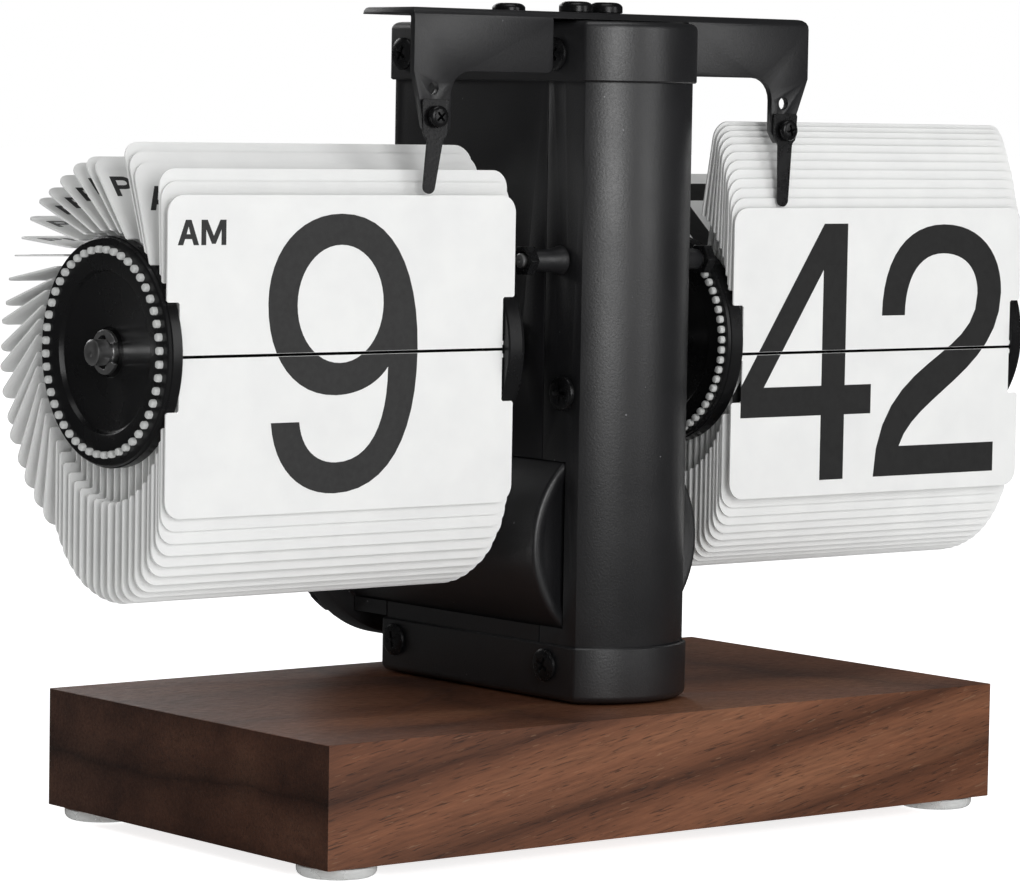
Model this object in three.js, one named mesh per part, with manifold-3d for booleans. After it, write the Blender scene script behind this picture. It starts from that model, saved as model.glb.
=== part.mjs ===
// Mechanical flip desk clock: a walnut base, a slim column holding the battery and the
// movement, and two split-flap drums, hours on the left and minutes on the right.
// Millimetres, +Z up, -Y is the front. Origin: bottom centre of the whole clock.
import * as THREE from 'three';
import { mergeVertices } from 'three/addons/utils/BufferGeometryUtils.js';
import Module from 'manifold-3d';

const wasm = await Module();
wasm.setup();

// ---------------------------------------------------------------- driving dimensions
const GAP = 0.3;                 // running and assembly clearance between pieces

const DRUM_Y = -8.65;            // drum axis, parallel to X
const DRUM_Z = 85.6;

const BASE = { x: -2.5, y: DRUM_Y + 4.3, length: 151, depth: 84, bottom: 2.2, top: 23 };
const FOOT = { radius: 6.75, height: 2, insetX: 7, insetY: 7 };

const COLUMN = {                 // plan: parallel sides and a bowed front
  halfWidth: 12.3, creaseY: DRUM_Y - 20.6, bow: 5.2, rearY: DRUM_Y + 33.9,
  seamY: DRUM_Y - 10.5, wall: 1.2, bottom: 24.6, top: 141.1,
};
const CAP = {
  grow: 0.7, wall: 0.5, rearWall: 1, plate: 1, low: 23.3, lowTop: 33.1, highBottom: 131.9, high: 142.4,
};
const BATTERY_BUMP = { rearY: DRUM_Y + 44, bottom: CAP.lowTop + GAP, top: 74 };

const TUBE = { z: 50.8, frontY: DRUM_Y - 16.7, rearY: DRUM_Y + 50, radius: 18.9, bore: 17.5, front: 1.5 };
const TUBE_FLANGE = { radius: 22.9, frontY: DRUM_Y + 44.3 };
const BATTERY_CAP = { radius: 21.9, rearY: DRUM_Y + 55, slotWidth: 3, slotDepth: 2 };
const CELL = { radius: 17.1, length: 59.5, nubRadius: 4.75, nubLength: 1.5 };
const SPRING = { radius: 5.5, wire: 0.45, turns: 2.5 };

const BRACKET = {                // one bent sheet on top of the column, offset to the left
  x: -2.8, sheet: 1.2, bend: 1.8, bottom: CAP.high + GAP, webY: DRUM_Y - 18, flangeRearY: DRUM_Y - 3.3,
  halfLength: 44.9, webBottom: 133.2, tongueHalf: 9, tongueRearY: DRUM_Y + 17, legBottom: 121.6,
};
const ARMS = {                   // where each arm starts, its leg, and the claw screwed to the leg
  hour: { side: -1, start: 14.7, legInner: 36.9, legTaper: 2.3, clawOffset: 40.7, screwZ: 125.4 },
  minute: { side: 1, start: 16.2, legInner: 36.2, legTaper: 3.8, clawOffset: 39.1, screwZ: 123.9 },
};
const CLAW = {
  headRise: 3, headHalf: 2.8, headBottom: 122, neckHalf: 1.65, tipHalf: 1.25, leaf: 0.4, aboveFlap: 0.25,
};
const SPARE_HOLE = { radius: 1.1, rise: 4.8 };   // second tapped hole in each leg

const DISC = { outerFace: 97.8, outerBack: 94.9, innerFace: 23.4, innerBack: 27.1, dish: 1.1, dishRadius: 13.6 };
const CORE = { radius: 8, bore: 6.4, end: 94.6 };
const SHAFT = { radius: 2.2, end: 100.4, bore: 2.5, neck: 0.9, neckBore: 1.2 };
const BUSH = { radius: 3.6, bore: 2.35, inner: 9.6, outer: 23, collar: 5, collarEnd: 13.8 };
const CLIP = { radius: 3.75, width: 0.8, start: 97, bore: 2.35 };

const FLAP = {
  inner: 24.9, outer: 97.2, notch: 2.5, notchRise: 7.9, tip: 25.4, heel: -0.7,
  corner: 3, sheet: 0.5, ring: 16.7,
};
const HOURS = { count: 48, first: 3.75, upright: 2, leaning: 5, last: 46, front: 17.5, disc: 19.3 };
const MINUTES = { count: 60, first: -3.8, upright: 11, leaning: 11, last: 58, front: 18.2, disc: 19 };

const CENTRES = 17.5;            // distance between meshing arbors
const TEETH = { minutePinion: 10, transferWheel: 60, transferPinion: 12, hourWheel: 48, motorPinion: 10 };
const FINE_MODULE = (2 * CENTRES) / (TEETH.minutePinion + TEETH.transferWheel);
const COARSE_MODULE = (2 * CENTRES) / (TEETH.transferPinion + TEETH.hourWheel);
const TRANSFER = { y: DRUM_Y + 14.34, z: DRUM_Z + 10.03 };
const MOTOR = { y: TRANSFER.y - 3.04, z: TRANSFER.z + 17.23, radius: 10, left: -10.5, right: 4.2 };

// ---------------------------------------------------------------- solid helpers
const TAU = 2 * Math.PI;
const radians = THREE.MathUtils.degToRad;

function signedVolume(positions, index) {
  const a = new THREE.Vector3();
  const b = new THREE.Vector3();
  const c = new THREE.Vector3();
  let sum = 0;
  for (let i = 0; i < index.count; i += 3) {
    a.fromBufferAttribute(positions, index.getX(i));
    b.fromBufferAttribute(positions, index.getX(i + 1));
    c.fromBufferAttribute(positions, index.getX(i + 2));
    sum += a.dot(b.cross(c));
  }
  return sum;
}

// Closed geometry to a manifold solid with its faces pointing out.
function solid(geometry) {
  const bare = geometry.clone();
  bare.deleteAttribute('normal');
  bare.deleteAttribute('uv');
  const merged = mergeVertices(bare, 1e-4);
  const triVerts = Uint32Array.from(merged.index.array);
  if (signedVolume(merged.attributes.position, merged.index) < 0) triVerts.reverse();
  const vertProperties = Float32Array.from(merged.attributes.position.array);
  return new wasm.Manifold(new wasm.Mesh({ numProp: 3, vertProperties, triVerts }));
}

function geometryOf(manifold) {
  const { vertProperties, triVerts, numProp } = manifold.getMesh();
  const positions = new Float32Array((vertProperties.length / numProp) * 3);
  for (let i = 0; i < positions.length / 3; i += 1) {
    for (let k = 0; k < 3; k += 1) positions[3 * i + k] = vertProperties[numProp * i + k];
  }
  const geometry = new THREE.BufferGeometry();
  geometry.setAttribute('position', new THREE.BufferAttribute(positions, 3));
  geometry.setIndex(new THREE.BufferAttribute(Uint32Array.from(triVerts), 1));
  geometry.computeVertexNormals();
  return geometry;
}

function box(x0, x1, y0, y1, z0, z1) {
  const geometry = new THREE.BoxGeometry(x1 - x0, y1 - y0, z1 - z0);
  geometry.translate((x0 + x1) / 2, (y0 + y1) / 2, (z0 + z1) / 2);
  return solid(geometry);
}

// The extrusion axis and the two axes of the outline follow one another in cyclic order:
// 'x' takes (y, z) points, 'y' takes (z, x) points and 'z' takes (x, y) points.
const BASES = {
  x: new THREE.Matrix4().set(0, 0, 1, 0, 1, 0, 0, 0, 0, 1, 0, 0, 0, 0, 0, 1),
  y: new THREE.Matrix4().set(0, 1, 0, 0, 0, 0, 1, 0, 1, 0, 0, 0, 0, 0, 0, 1),
  z: new THREE.Matrix4(),
};

function prism(axis, outline, from, to, holes = []) {
  const shape = new THREE.Shape(outline.map(([u, v]) => new THREE.Vector2(u, v)));
  shape.holes = holes.map((hole) => new THREE.Path(hole.map(([u, v]) => new THREE.Vector2(u, v))));
  const geometry = new THREE.ExtrudeGeometry(shape, { depth: to - from, bevelEnabled: false });
  geometry.translate(0, 0, from);
  geometry.applyMatrix4(BASES[axis]);
  return solid(geometry);
}

function circle(radius, u = 0, v = 0, steps = 32) {
  return Array.from({ length: steps }, (_, i) => [
    u + radius * Math.cos((TAU * i) / steps), v + radius * Math.sin((TAU * i) / steps)]);
}

function arc(u, v, radius, fromDegrees, toDegrees, steps) {
  return Array.from({ length: steps + 1 }, (_, i) => {
    const angle = radians(fromDegrees + ((toDegrees - fromDegrees) * i) / steps);
    return [u + radius * Math.cos(angle), v + radius * Math.sin(angle)];
  });
}

// Turned piece about the given axis; the profile is a closed loop or starts and ends on the
// axis, as [along, radius] pairs.
function turned(axis, profile, u = 0, v = 0, steps = 24) {
  const points = profile.map(([along, radius]) => new THREE.Vector2(radius, along));
  const geometry = new THREE.LatheGeometry(points, steps);
  geometry.rotateX(Math.PI / 2);
  geometry.applyMatrix4(BASES[axis]);
  const shift = { x: [0, u, v], y: [v, 0, u], z: [u, v, 0] }[axis];
  geometry.translate(...shift);
  return solid(geometry);
}

function rod(axis, radius, from, to, u = 0, v = 0, steps = 14) {
  return turned(axis, [[from, 0], [from, radius], [to, radius], [to, 0]], u, v, steps);
}

function cutAll(body, tools) {
  return tools.reduce((left, tool) => left.subtract(tool), body);
}

function joinAll(bodies) {
  return bodies.reduce((sum, next) => sum.add(next));
}

// ---------------------------------------------------------------- materials
function finish(color, roughness, metalness) {
  return new THREE.MeshStandardMaterial({ color, roughness, metalness });
}

const MATERIALS = {
  walnut: finish(0x6b4230, 0.55, 0),
  silicone: finish(0xe4e4e0, 0.5, 0),
  powderCoat: finish(0x1b1b1d, 0.5, 0.3),
  blackSteel: finish(0x151516, 0.35, 0.6),
  blackPlastic: finish(0x0f0f10, 0.3, 0),
  flapWhite: finish(0xeeefec, 0.55, 0),
  steel: finish(0xb9bbbe, 0.3, 1),
  brass: finish(0xb8964a, 0.35, 1),
  gearPlastic: finish(0xe9e6da, 0.5, 0),
  cellJacket: finish(0x2d5f8a, 0.4, 0.2),
};

const clock = new THREE.Group();

function addPiece(parent, name, manifold, material, place) {
  const mesh = new THREE.Mesh(geometryOf(manifold), material);
  mesh.name = name;
  if (place) place(mesh);
  parent.add(mesh);
  return mesh;
}

// ---------------------------------------------------------------- wooden base and feet
const BASE_SCREWS_Y = [DRUM_Y - 12, DRUM_Y + 22];
const BASE_SCREW = {
  headRadius: 3.6, headHeight: 2.2, shank: 1.4, length: 18.4, recess: 4.2, recessDepth: 7, hole: 1.8,
};

function baseBlock() {
  const block = box(
    BASE.x - BASE.length / 2, BASE.x + BASE.length / 2,
    BASE.y - BASE.depth / 2, BASE.y + BASE.depth / 2, BASE.bottom, BASE.top);
  const tools = BASE_SCREWS_Y.flatMap((y) => [
    rod('z', BASE_SCREW.recess, BASE.bottom - 1, BASE.bottom + BASE_SCREW.recessDepth, 0, y),
    rod('z', BASE_SCREW.hole, BASE.bottom - 1, BASE.top + 1, 0, y)]);
  return cutAll(block, tools);
}

addPiece(clock, 'base_block', baseBlock(), MATERIALS.walnut);
for (const [sideX, nameX] of [[-1, 'left'], [1, 'right']]) {
  for (const [sideY, nameY] of [[-1, 'front'], [1, 'rear']]) {
    const edge = 0.4;
    const foot = turned('z', [
      [0, 0], [0, FOOT.radius - edge], [edge, FOOT.radius], [FOOT.height, FOOT.radius], [FOOT.height, 0]], 0, 0, 20);
    addPiece(clock, `foot_${nameY}_${nameX}`, foot, MATERIALS.silicone, (mesh) => {
      mesh.position.set(
        BASE.x + sideX * (BASE.length / 2 - FOOT.insetX),
        BASE.y + sideY * (BASE.depth / 2 - FOOT.insetY), 0);
    });
  }
}

// ---------------------------------------------------------------- screws
// Pan-head screw along +Z: the head's underside is at z = 0 and the shank runs down.
function panScrew({ headRadius, headHeight, shank, length }) {
  return turned('z', [
    [-length, 0], [-length, shank], [0, shank], [0, headRadius], [headHeight * 0.55, headRadius],
    [headHeight, headRadius * 0.5], [headHeight, 0]], 0, 0, 12);
}

const SIDE_SCREW = { headRadius: 2.95, headHeight: 0.9, shank: 1.3, length: 3.6 };
const TOP_SCREW = { headRadius: 3, headHeight: 1.9, shank: 1.4, length: 5.4 };
const CLAW_SCREW = { headRadius: 1.9, headHeight: 1.3, shank: 0.95, length: 2.4 };
const SCREW_HOLE = 1.7;

BASE_SCREWS_Y.forEach((y, i) => {
  const name = ['base_screw_front', 'base_screw_rear'][i];
  addPiece(clock, name, panScrew(BASE_SCREW), MATERIALS.steel, (mesh) => {
    mesh.rotation.x = Math.PI;
    mesh.position.set(0, y, BASE.bottom + BASE_SCREW.recessDepth - GAP);
  });
});

const SIDE_SCREWS_Y = { front: DRUM_Y - 13.4, rear: DRUM_Y + 30.4 };
const SIDE_SCREWS_Z = { top_cap: 136.6, bottom_cap: 29.4 };
const PANEL_SCREW = { ...SIDE_SCREW, headRadius: 3.1, headHeight: 1.3, y: DRUM_Y - 16.4, z: 77.5 };

function sideScrewTools(reach) {
  const tools = [];
  for (const z of Object.values(SIDE_SCREWS_Z)) {
    for (const y of Object.values(SIDE_SCREWS_Y)) tools.push(rod('x', SCREW_HOLE, -reach, reach, y, z, 10));
  }
  return tools;
}

// ---------------------------------------------------------------- column shells and caps
const BOW_RADIUS = (COLUMN.halfWidth ** 2 + COLUMN.bow ** 2) / (2 * COLUMN.bow);
const BOW_Y = COLUMN.creaseY - COLUMN.bow + BOW_RADIUS;

// Bowed front of the column's plan, grown outwards, from its left crease to its right one.
function bowedFront(grow) {
  const halfWidth = COLUMN.halfWidth + grow;
  const radius = BOW_RADIUS + grow;
  const half = THREE.MathUtils.radToDeg(Math.asin(halfWidth / radius));
  return arc(0, BOW_Y, radius, 270 - half, 270 + half, 10);
}

function columnPlan(grow, rearY) {
  const halfWidth = COLUMN.halfWidth + grow;
  return [...bowedFront(grow), [halfWidth, rearY], [-halfWidth, rearY]];
}

function tubeClearance(from, to) {
  return rod('y', TUBE.radius + GAP, from, to, TUBE.z, 0, 40);
}

const STOP = { y: DRUM_Y - 14.9, z: DRUM_Z + 15.1 };
const WALL_HOLES = [
  rod('x', SCREW_HOLE, -20, 20, PANEL_SCREW.y, PANEL_SCREW.z, 10),
  rod('x', SCREW_HOLE, -20, 20, STOP.y, STOP.z, 10)];
const BUSH_HOLE = rod('x', BUSH.radius + GAP, -20, 20, DRUM_Y, DRUM_Z, 18);

function frontCover() {
  const w = COLUMN.wall;
  const side = COLUMN.halfWidth;
  const edge = COLUMN.seamY - GAP / 2;
  const outline = [
    ...bowedFront(0), [side, edge], [side - w, edge],
    ...bowedFront(-w).reverse(), [-side + w, edge], [-side, edge]];
  const shell = prism('z', outline, COLUMN.bottom, COLUMN.top);
  return cutAll(shell, [tubeClearance(TUBE.frontY - GAP, DRUM_Y + 60), ...sideScrewTools(20), ...WALL_HOLES]);
}

// Three walls round the back of the column, open to the front. The battery tube is wider
// than the column, so these walls are one piece above it and another below.
function rearWalls(grow, from, to) {
  const inner = COLUMN.halfWidth - COLUMN.wall;
  const side = COLUMN.halfWidth + grow;
  const edge = COLUMN.seamY + GAP / 2;
  const rear = COLUMN.rearY;
  return prism('z', [
    [-side, edge], [-inner, edge], [-inner, rear - COLUMN.wall], [inner, rear - COLUMN.wall],
    [inner, edge], [side, edge], [side, rear + grow], [-side, rear + grow]], from, to);
}

function batteryBump(from, to) {
  const side = COLUMN.halfWidth;
  return box(-side, side, COLUMN.rearY - COLUMN.wall / 2, BATTERY_BUMP.rearY, from, to);
}

function rearHousing() {
  const shell = rearWalls(0, TUBE.z, COLUMN.top).add(batteryBump(TUBE.z, BATTERY_BUMP.top));
  return cutAll(shell, [tubeClearance(TUBE.frontY - GAP, DRUM_Y + 60), ...sideScrewTools(20), BUSH_HOLE]);
}

// Cup-shaped cap: a plate at one end and a thin band around the covers.
function capShell(plateFrom, plateTo, bandFrom, bandTo) {
  const outerRear = COLUMN.rearY + GAP + CAP.rearWall;
  const outer = columnPlan(CAP.grow, outerRear);
  const inner = columnPlan(CAP.grow - CAP.wall, COLUMN.rearY + GAP);
  const band = prism('z', outer, bandFrom, bandTo, [inner]);
  const plate = prism('z', outer, plateFrom, plateTo);
  return band.add(plate);
}

function bottomCap() {
  const floor = CAP.low + CAP.plate;
  let cap = capShell(CAP.low, floor, CAP.low, CAP.lowTop);
  for (const y of BASE_SCREWS_Y) {
    cap = cap.add(rod('z', 3.6, floor - 0.5, 31, 0, y));
    cap = cap.subtract(rod('z', BASE_SCREW.hole, CAP.low - 1, 32, 0, y));
  }
  const cradle = joinAll([
    rearWalls(CAP.grow - CAP.wall + 0.05, CAP.low, CAP.lowTop), rearWalls(0, CAP.lowTop - 1, TUBE.z),
    batteryBump(BATTERY_BUMP.bottom, TUBE.z)]);
  return cutAll(cap.add(cradle), [tubeClearance(TUBE.frontY - GAP, DRUM_Y + 60), ...sideScrewTools(20)]);
}

const TOP_SCREWS = {
  bracket_screw_left: [BRACKET.x - 3.4, DRUM_Y - 10.2],
  bracket_screw_right: [BRACKET.x + 3.4, DRUM_Y - 10.2],
  bracket_screw_rear: [BRACKET.x, DRUM_Y + 13],
};

function topScrewTools() {
  return Object.values(TOP_SCREWS).map(([x, y]) => rod('z', SCREW_HOLE, CAP.high - 10, CAP.high + 10, x, y, 10));
}

function topCap() {
  const cap = capShell(CAP.high - CAP.plate, CAP.high, CAP.highBottom, CAP.high);
  return cutAll(cap, [...topScrewTools(), ...sideScrewTools(20)]);
}

addPiece(clock, 'front_cover', frontCover(), MATERIALS.powderCoat);
addPiece(clock, 'rear_housing', rearHousing(), MATERIALS.powderCoat);
addPiece(clock, 'bottom_cap', bottomCap(), MATERIALS.powderCoat);
addPiece(clock, 'top_cap', topCap(), MATERIALS.powderCoat);

for (const [side, sideName] of [[-1, 'left'], [1, 'right']]) {
  const face = COLUMN.halfWidth + CAP.grow + GAP / 2;
  for (const [capName, z] of Object.entries(SIDE_SCREWS_Z)) {
    for (const [endName, y] of Object.entries(SIDE_SCREWS_Y)) {
      const name = `${capName}_screw_${endName}_${sideName}`;
      addPiece(clock, name, panScrew(SIDE_SCREW), MATERIALS.blackSteel, (mesh) => {
        mesh.rotation.y = (side * Math.PI) / 2;
        mesh.position.set(side * face, y, z);
      });
    }
  }
  addPiece(clock, `panel_screw_${sideName}`, panScrew(PANEL_SCREW), MATERIALS.blackSteel, (mesh) => {
    mesh.rotation.y = (side * Math.PI) / 2;
    mesh.position.set(side * (COLUMN.halfWidth + GAP / 2), PANEL_SCREW.y, PANEL_SCREW.z);
  });
}

// ---------------------------------------------------------------- battery holder
function batteryTube() {
  const { frontY: front, rearY: rear, radius, bore } = TUBE;
  const rim = 1;
  return turned('y', [
    [front, 0], [front, radius - rim], [front + rim, radius], [TUBE_FLANGE.frontY, radius],
    [TUBE_FLANGE.frontY, TUBE_FLANGE.radius - rim], [TUBE_FLANGE.frontY + rim, TUBE_FLANGE.radius],
    [rear, TUBE_FLANGE.radius], [rear, bore], [front + TUBE.front, bore], [front + TUBE.front, 0]],
  TUBE.z, 0, 40);
}

function batteryCap() {
  const front = TUBE.rearY + GAP;
  const { radius, rearY: rear, slotWidth, slotDepth } = BATTERY_CAP;
  const rim = 1;
  const cap = turned('y', [
    [front, 0], [front, radius], [rear - rim, radius], [rear, radius - rim], [rear, 0]], TUBE.z, 0, 40);
  const half = radius * 0.7;
  return cap.subtract(box(
    -half, half, rear - slotDepth, rear + 1, TUBE.z - slotWidth / 2, TUBE.z + slotWidth / 2));
}

const CELL_FRONT = TUBE.frontY + TUBE.front + GAP;

function batteryCell() {
  const shoulder = CELL_FRONT + CELL.nubLength;
  const rear = shoulder + CELL.length;
  return turned('y', [
    [CELL_FRONT, 0], [CELL_FRONT, CELL.nubRadius], [shoulder, CELL.nubRadius], [shoulder, CELL.radius],
    [rear, CELL.radius], [rear, 0]], TUBE.z, 0, 28);
}

// Conical contact spring between the cell and the battery cap.
function batterySpring() {
  const start = CELL_FRONT + CELL.nubLength + CELL.length + GAP + SPRING.wire;
  const end = TUBE.rearY - SPRING.wire;
  const steps = 30;
  const points = Array.from({ length: steps + 1 }, (_, i) => {
    const t = i / steps;
    const angle = TAU * SPRING.turns * t;
    const radius = SPRING.radius * (0.65 + 0.35 * t);
    return new THREE.Vector3(radius * Math.cos(angle), start + (end - start) * t, TUBE.z + radius * Math.sin(angle));
  });
  const section = new THREE.Shape(circle(SPRING.wire, 0, 0, 5).map(([u, v]) => new THREE.Vector2(u, v)));
  const path = new THREE.CatmullRomCurve3(points);
  return solid(new THREE.ExtrudeGeometry(section, { steps, extrudePath: path, bevelEnabled: false }));
}

addPiece(clock, 'battery_tube', batteryTube(), MATERIALS.powderCoat);
addPiece(clock, 'battery_cap', batteryCap(), MATERIALS.blackPlastic);
addPiece(clock, 'battery_cell', batteryCell(), MATERIALS.cellJacket);
addPiece(clock, 'battery_spring', batterySpring(), MATERIALS.steel);

// ---------------------------------------------------------------- claw bracket and claws
// Front view of one arm's web and leg in (z, offset from the bracket's centre) pairs.
function armOutline({ side, start, legInner, legTaper }) {
  const { halfLength, webBottom, legBottom, bottom, sheet, bend } = BRACKET;
  const top = bottom + sheet;
  const foot = 2;
  const fillet = 4;
  const corner = bend - 0.6;
  const points = [
    [top, start], ...arc(top - corner, halfLength - corner, corner, 0, 90, 3), [webBottom, halfLength],
    [legBottom + foot, halfLength - legTaper],
    [legBottom, halfLength - legTaper - foot], [legBottom, legInner + foot * 0.7],
    [legBottom + foot, legInner],
    ...arc(webBottom - fillet, legInner - fillet, fillet, 90, 0, 6),
    ...arc(webBottom + corner, start + corner, corner, 180, 270, 3)];
  return points.map(([z, offset]) => [z, BRACKET.x + side * offset]);
}

// The L section of the sheet: a flange on top, bent down into the web and legs.
function bentSheet() {
  const { x, sheet, bend, bottom, webY, flangeRearY, halfLength, legBottom } = BRACKET;
  const top = bottom + sheet;
  return prism('x', [
    [webY, legBottom], ...arc(webY + bend, top - bend, bend, 180, 90, 4), [flangeRearY, top],
    [flangeRearY, bottom], ...arc(webY + bend, top - bend, bend - sheet, 90, 180, 2),
    [webY + sheet, legBottom]], x - halfLength, x + halfLength);
}

function clawBracket() {
  const { x, sheet, bottom, webY, flangeRearY, tongueHalf, tongueRearY } = BRACKET;
  const top = bottom + sheet;
  const { hour, minute } = ARMS;
  const frontView = joinAll([
    ...Object.values(ARMS).map((arm) => prism('y', armOutline(arm), webY - 1, flangeRearY + 1)),
    box(x - hour.start - 1, x + minute.start + 1, webY - 1, flangeRearY + 1, bottom, top)]);
  const tongue = box(x - tongueHalf, x + tongueHalf, flangeRearY - 1, tongueRearY, bottom, top);
  const holes = Object.values(ARMS).flatMap(({ side, clawOffset, screwZ }) => [
    rod('y', CLAW_SCREW.shank + GAP, webY - 1, webY + 3, screwZ, x + side * clawOffset, 10),
    rod('y', SPARE_HOLE.radius, webY - 1, webY + 3, screwZ + SPARE_HOLE.rise, x + side * clawOffset, 12)]);
  return cutAll(bentSheet().intersect(frontView).add(tongue), [...topScrewTools(), ...holes]);
}

// The tip stops just above the showing flap, so the flap can swing down in front of it.
function claw({ side, clawOffset, screwZ }, drum) {
  const { headRise, headHalf, headBottom, neckHalf, tipHalf, leaf, aboveFlap } = CLAW;
  const tipZ = DRUM_Z + FLAP.ring * Math.sin(radians(drum.first)) + FLAP.tip + aboveFlap;
  const top = screwZ + headRise;
  const half = [
    [top, headHalf - 0.4], [top - 0.4, headHalf], [headBottom, headHalf * 0.9], [headBottom - 0.8, neckHalf]];
  const outline = [
    ...half, ...arc(tipZ + tipHalf, 0, tipHalf, 90, 270, 8), ...half.map(([z, u]) => [z, -u]).reverse()];
  const x = BRACKET.x + side * clawOffset;
  const front = BRACKET.webY - GAP - leaf;
  const plate = prism('y', outline.map(([z, u]) => [z, x + u]), front, front + leaf);
  return plate.subtract(rod('y', CLAW_SCREW.shank + GAP, front - 1, front + 1, screwZ, x, 10));
}

addPiece(clock, 'claw_bracket', clawBracket(), MATERIALS.powderCoat);
for (const [name, arm] of Object.entries(ARMS)) {
  addPiece(clock, `${name}_claw`, claw(arm, name === 'hour' ? HOURS : MINUTES), MATERIALS.blackSteel);
  addPiece(clock, `${name}_claw_screw`, panScrew(CLAW_SCREW), MATERIALS.blackSteel, (mesh) => {
    mesh.rotation.x = Math.PI / 2;
    mesh.position.set(BRACKET.x + arm.side * arm.clawOffset, BRACKET.webY - GAP * 2 - CLAW.leaf, arm.screwZ);
  });
}
for (const [name, [x, y]] of Object.entries(TOP_SCREWS)) {
  addPiece(clock, name, panScrew(TOP_SCREW), MATERIALS.blackSteel, (mesh) => {
    mesh.position.set(x, y, BRACKET.bottom + BRACKET.sheet + GAP / 2);
  });
}

// ---------------------------------------------------------------- stop posts
const POST = {
  foot: 12.6, shoulder: 19.1, footRadius: 2.6, neckRadius: 1.8, stud: 1.35, end: 21.7,
  nut: 2.8, nutStart: 19.4, nutEnd: 21.2,
};

for (const [side, name] of [[-1, 'left'], [1, 'right']]) {
  const place = (mesh) => {
    mesh.rotation.z = side < 0 ? Math.PI : 0;
    mesh.position.set(0, STOP.y, STOP.z);
  };
  const post = turned('x', [
    [10, 0], [10, POST.stud], [POST.foot, POST.stud], [POST.foot, POST.footRadius],
    [POST.shoulder, POST.neckRadius], [POST.shoulder, POST.stud], [POST.end, POST.stud], [POST.end, 0]], 0, 0, 14);
  addPiece(clock, `stop_post_${name}`, post, MATERIALS.steel, place);
  const nut = prism('x', circle(POST.nut, 0, 0, 6), POST.nutStart, POST.nutEnd, [circle(POST.stud + GAP, 0, 0, 14)]);
  addPiece(clock, `stop_nut_${name}`, nut, MATERIALS.steel, place);
}

// ---------------------------------------------------------------- gears
// Spur gear about X. The teeth are slim trapezoids, which leaves the mesh its backlash.
function gear(teeth, m, from, to, bore, phase) {
  const pitch = (teeth * m) / 2;
  const outline = [];
  for (let i = 0; i < teeth; i += 1) {
    const centre = phase + (TAU * i) / teeth;
    const root = (0.27 * Math.PI * m) / pitch;
    const tip = (0.1 * Math.PI * m) / pitch;
    for (const [radius, offset] of [[-1.15, -root], [0.75, -tip], [0.75, tip], [-1.15, root]]) {
      const r = pitch + radius * m;
      outline.push([r * Math.cos(centre + offset), r * Math.sin(centre + offset)]);
    }
  }
  return prism('x', outline, from, to, bore ? [circle(bore, 0, 0, 14)] : []);
}

// Towards the drums' axis the transfer arbor shows tooth gaps, and the drums' gears a tooth.
const TO_TRANSFER = Math.atan2(TRANSFER.z - DRUM_Z, TRANSFER.y - DRUM_Y);
const TO_DRUMS = TO_TRANSFER + Math.PI;
const TO_MOTOR = Math.atan2(MOTOR.z - TRANSFER.z, MOTOR.y - TRANSFER.y);

function at(y, z) {
  return (mesh) => mesh.position.set(0, y, z);
}

addPiece(clock, 'minute_pinion', gear(TEETH.minutePinion, FINE_MODULE, 5, 8, SHAFT.neckBore, TO_TRANSFER),
  MATERIALS.gearPlastic, at(DRUM_Y, DRUM_Z));
addPiece(clock, 'hour_wheel', gear(TEETH.hourWheel, COARSE_MODULE, -8.6, -6.8, SHAFT.bore, TO_TRANSFER),
  MATERIALS.gearPlastic, at(DRUM_Y, DRUM_Z));

function transferArbor() {
  const { transferWheel, transferPinion } = TEETH;
  const wheel = gear(transferWheel, FINE_MODULE, 5.5, 7.5, 0, TO_DRUMS + Math.PI / transferWheel);
  const pinion = gear(transferPinion, COARSE_MODULE, -9, -5.6, 0, TO_DRUMS + Math.PI / transferPinion);
  return joinAll([wheel, pinion, rod('x', 1.5, -10.7, 10.7), rod('x', 2.6, -5.7, 5.6)]);
}
addPiece(clock, 'transfer_arbor', transferArbor(), MATERIALS.gearPlastic, at(TRANSFER.y, TRANSFER.z));

function motorBody() {
  const can = rod('x', MOTOR.radius, MOTOR.left, MOTOR.right, 0, 0, 24);
  return can.subtract(rod('x', 2.2, MOTOR.right - 3, MOTOR.right + 1));
}
addPiece(clock, 'motor', motorBody(), MATERIALS.steel, at(MOTOR.y, MOTOR.z));

// The pinion's tooth points at whichever gap of the transfer wheel is nearest to the line of centres.
function motorPinion() {
  const { motorPinion: teeth, transferWheel } = TEETH;
  const gapAngle = TO_DRUMS - TO_MOTOR;
  const phase = TO_MOTOR + Math.PI - (gapAngle * transferWheel) / teeth;
  return gear(teeth, FINE_MODULE, 4.9, 8, 0, phase).add(rod('x', 1.2, 1.7, 5, 0, 0, 10));
}
addPiece(clock, 'motor_pinion', motorPinion(), MATERIALS.brass, at(MOTOR.y, MOTOR.z));

// ---------------------------------------------------------------- flaps
// One sheet with notched sides, standing up from its hinge line at z = 0; u runs along X.
function flapOutline(inner, outer) {
  const { notch, notchRise, tip, heel, corner } = FLAP;
  return [
    [heel, inner + notch], [notchRise, inner + notch], [notchRise, inner],
    ...arc(tip - corner, inner + corner, corner, 270, 360, 4),
    ...arc(tip - corner, outer - corner, corner, 0, 90, 4),
    [notchRise, outer], [notchRise, outer - notch], [heel, outer - notch]];
}

// Direction a flap points in the YZ plane: 0 degrees is up, 90 back and 180 down.
function pointing(degrees) {
  return [Math.sin(radians(degrees)), Math.cos(radians(degrees))];
}

function hingeOf(drum, index) {
  const angle = radians(drum.first + (360 / drum.count) * index);
  return [-FLAP.ring * Math.cos(angle), FLAP.ring * Math.sin(angle)];
}

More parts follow.
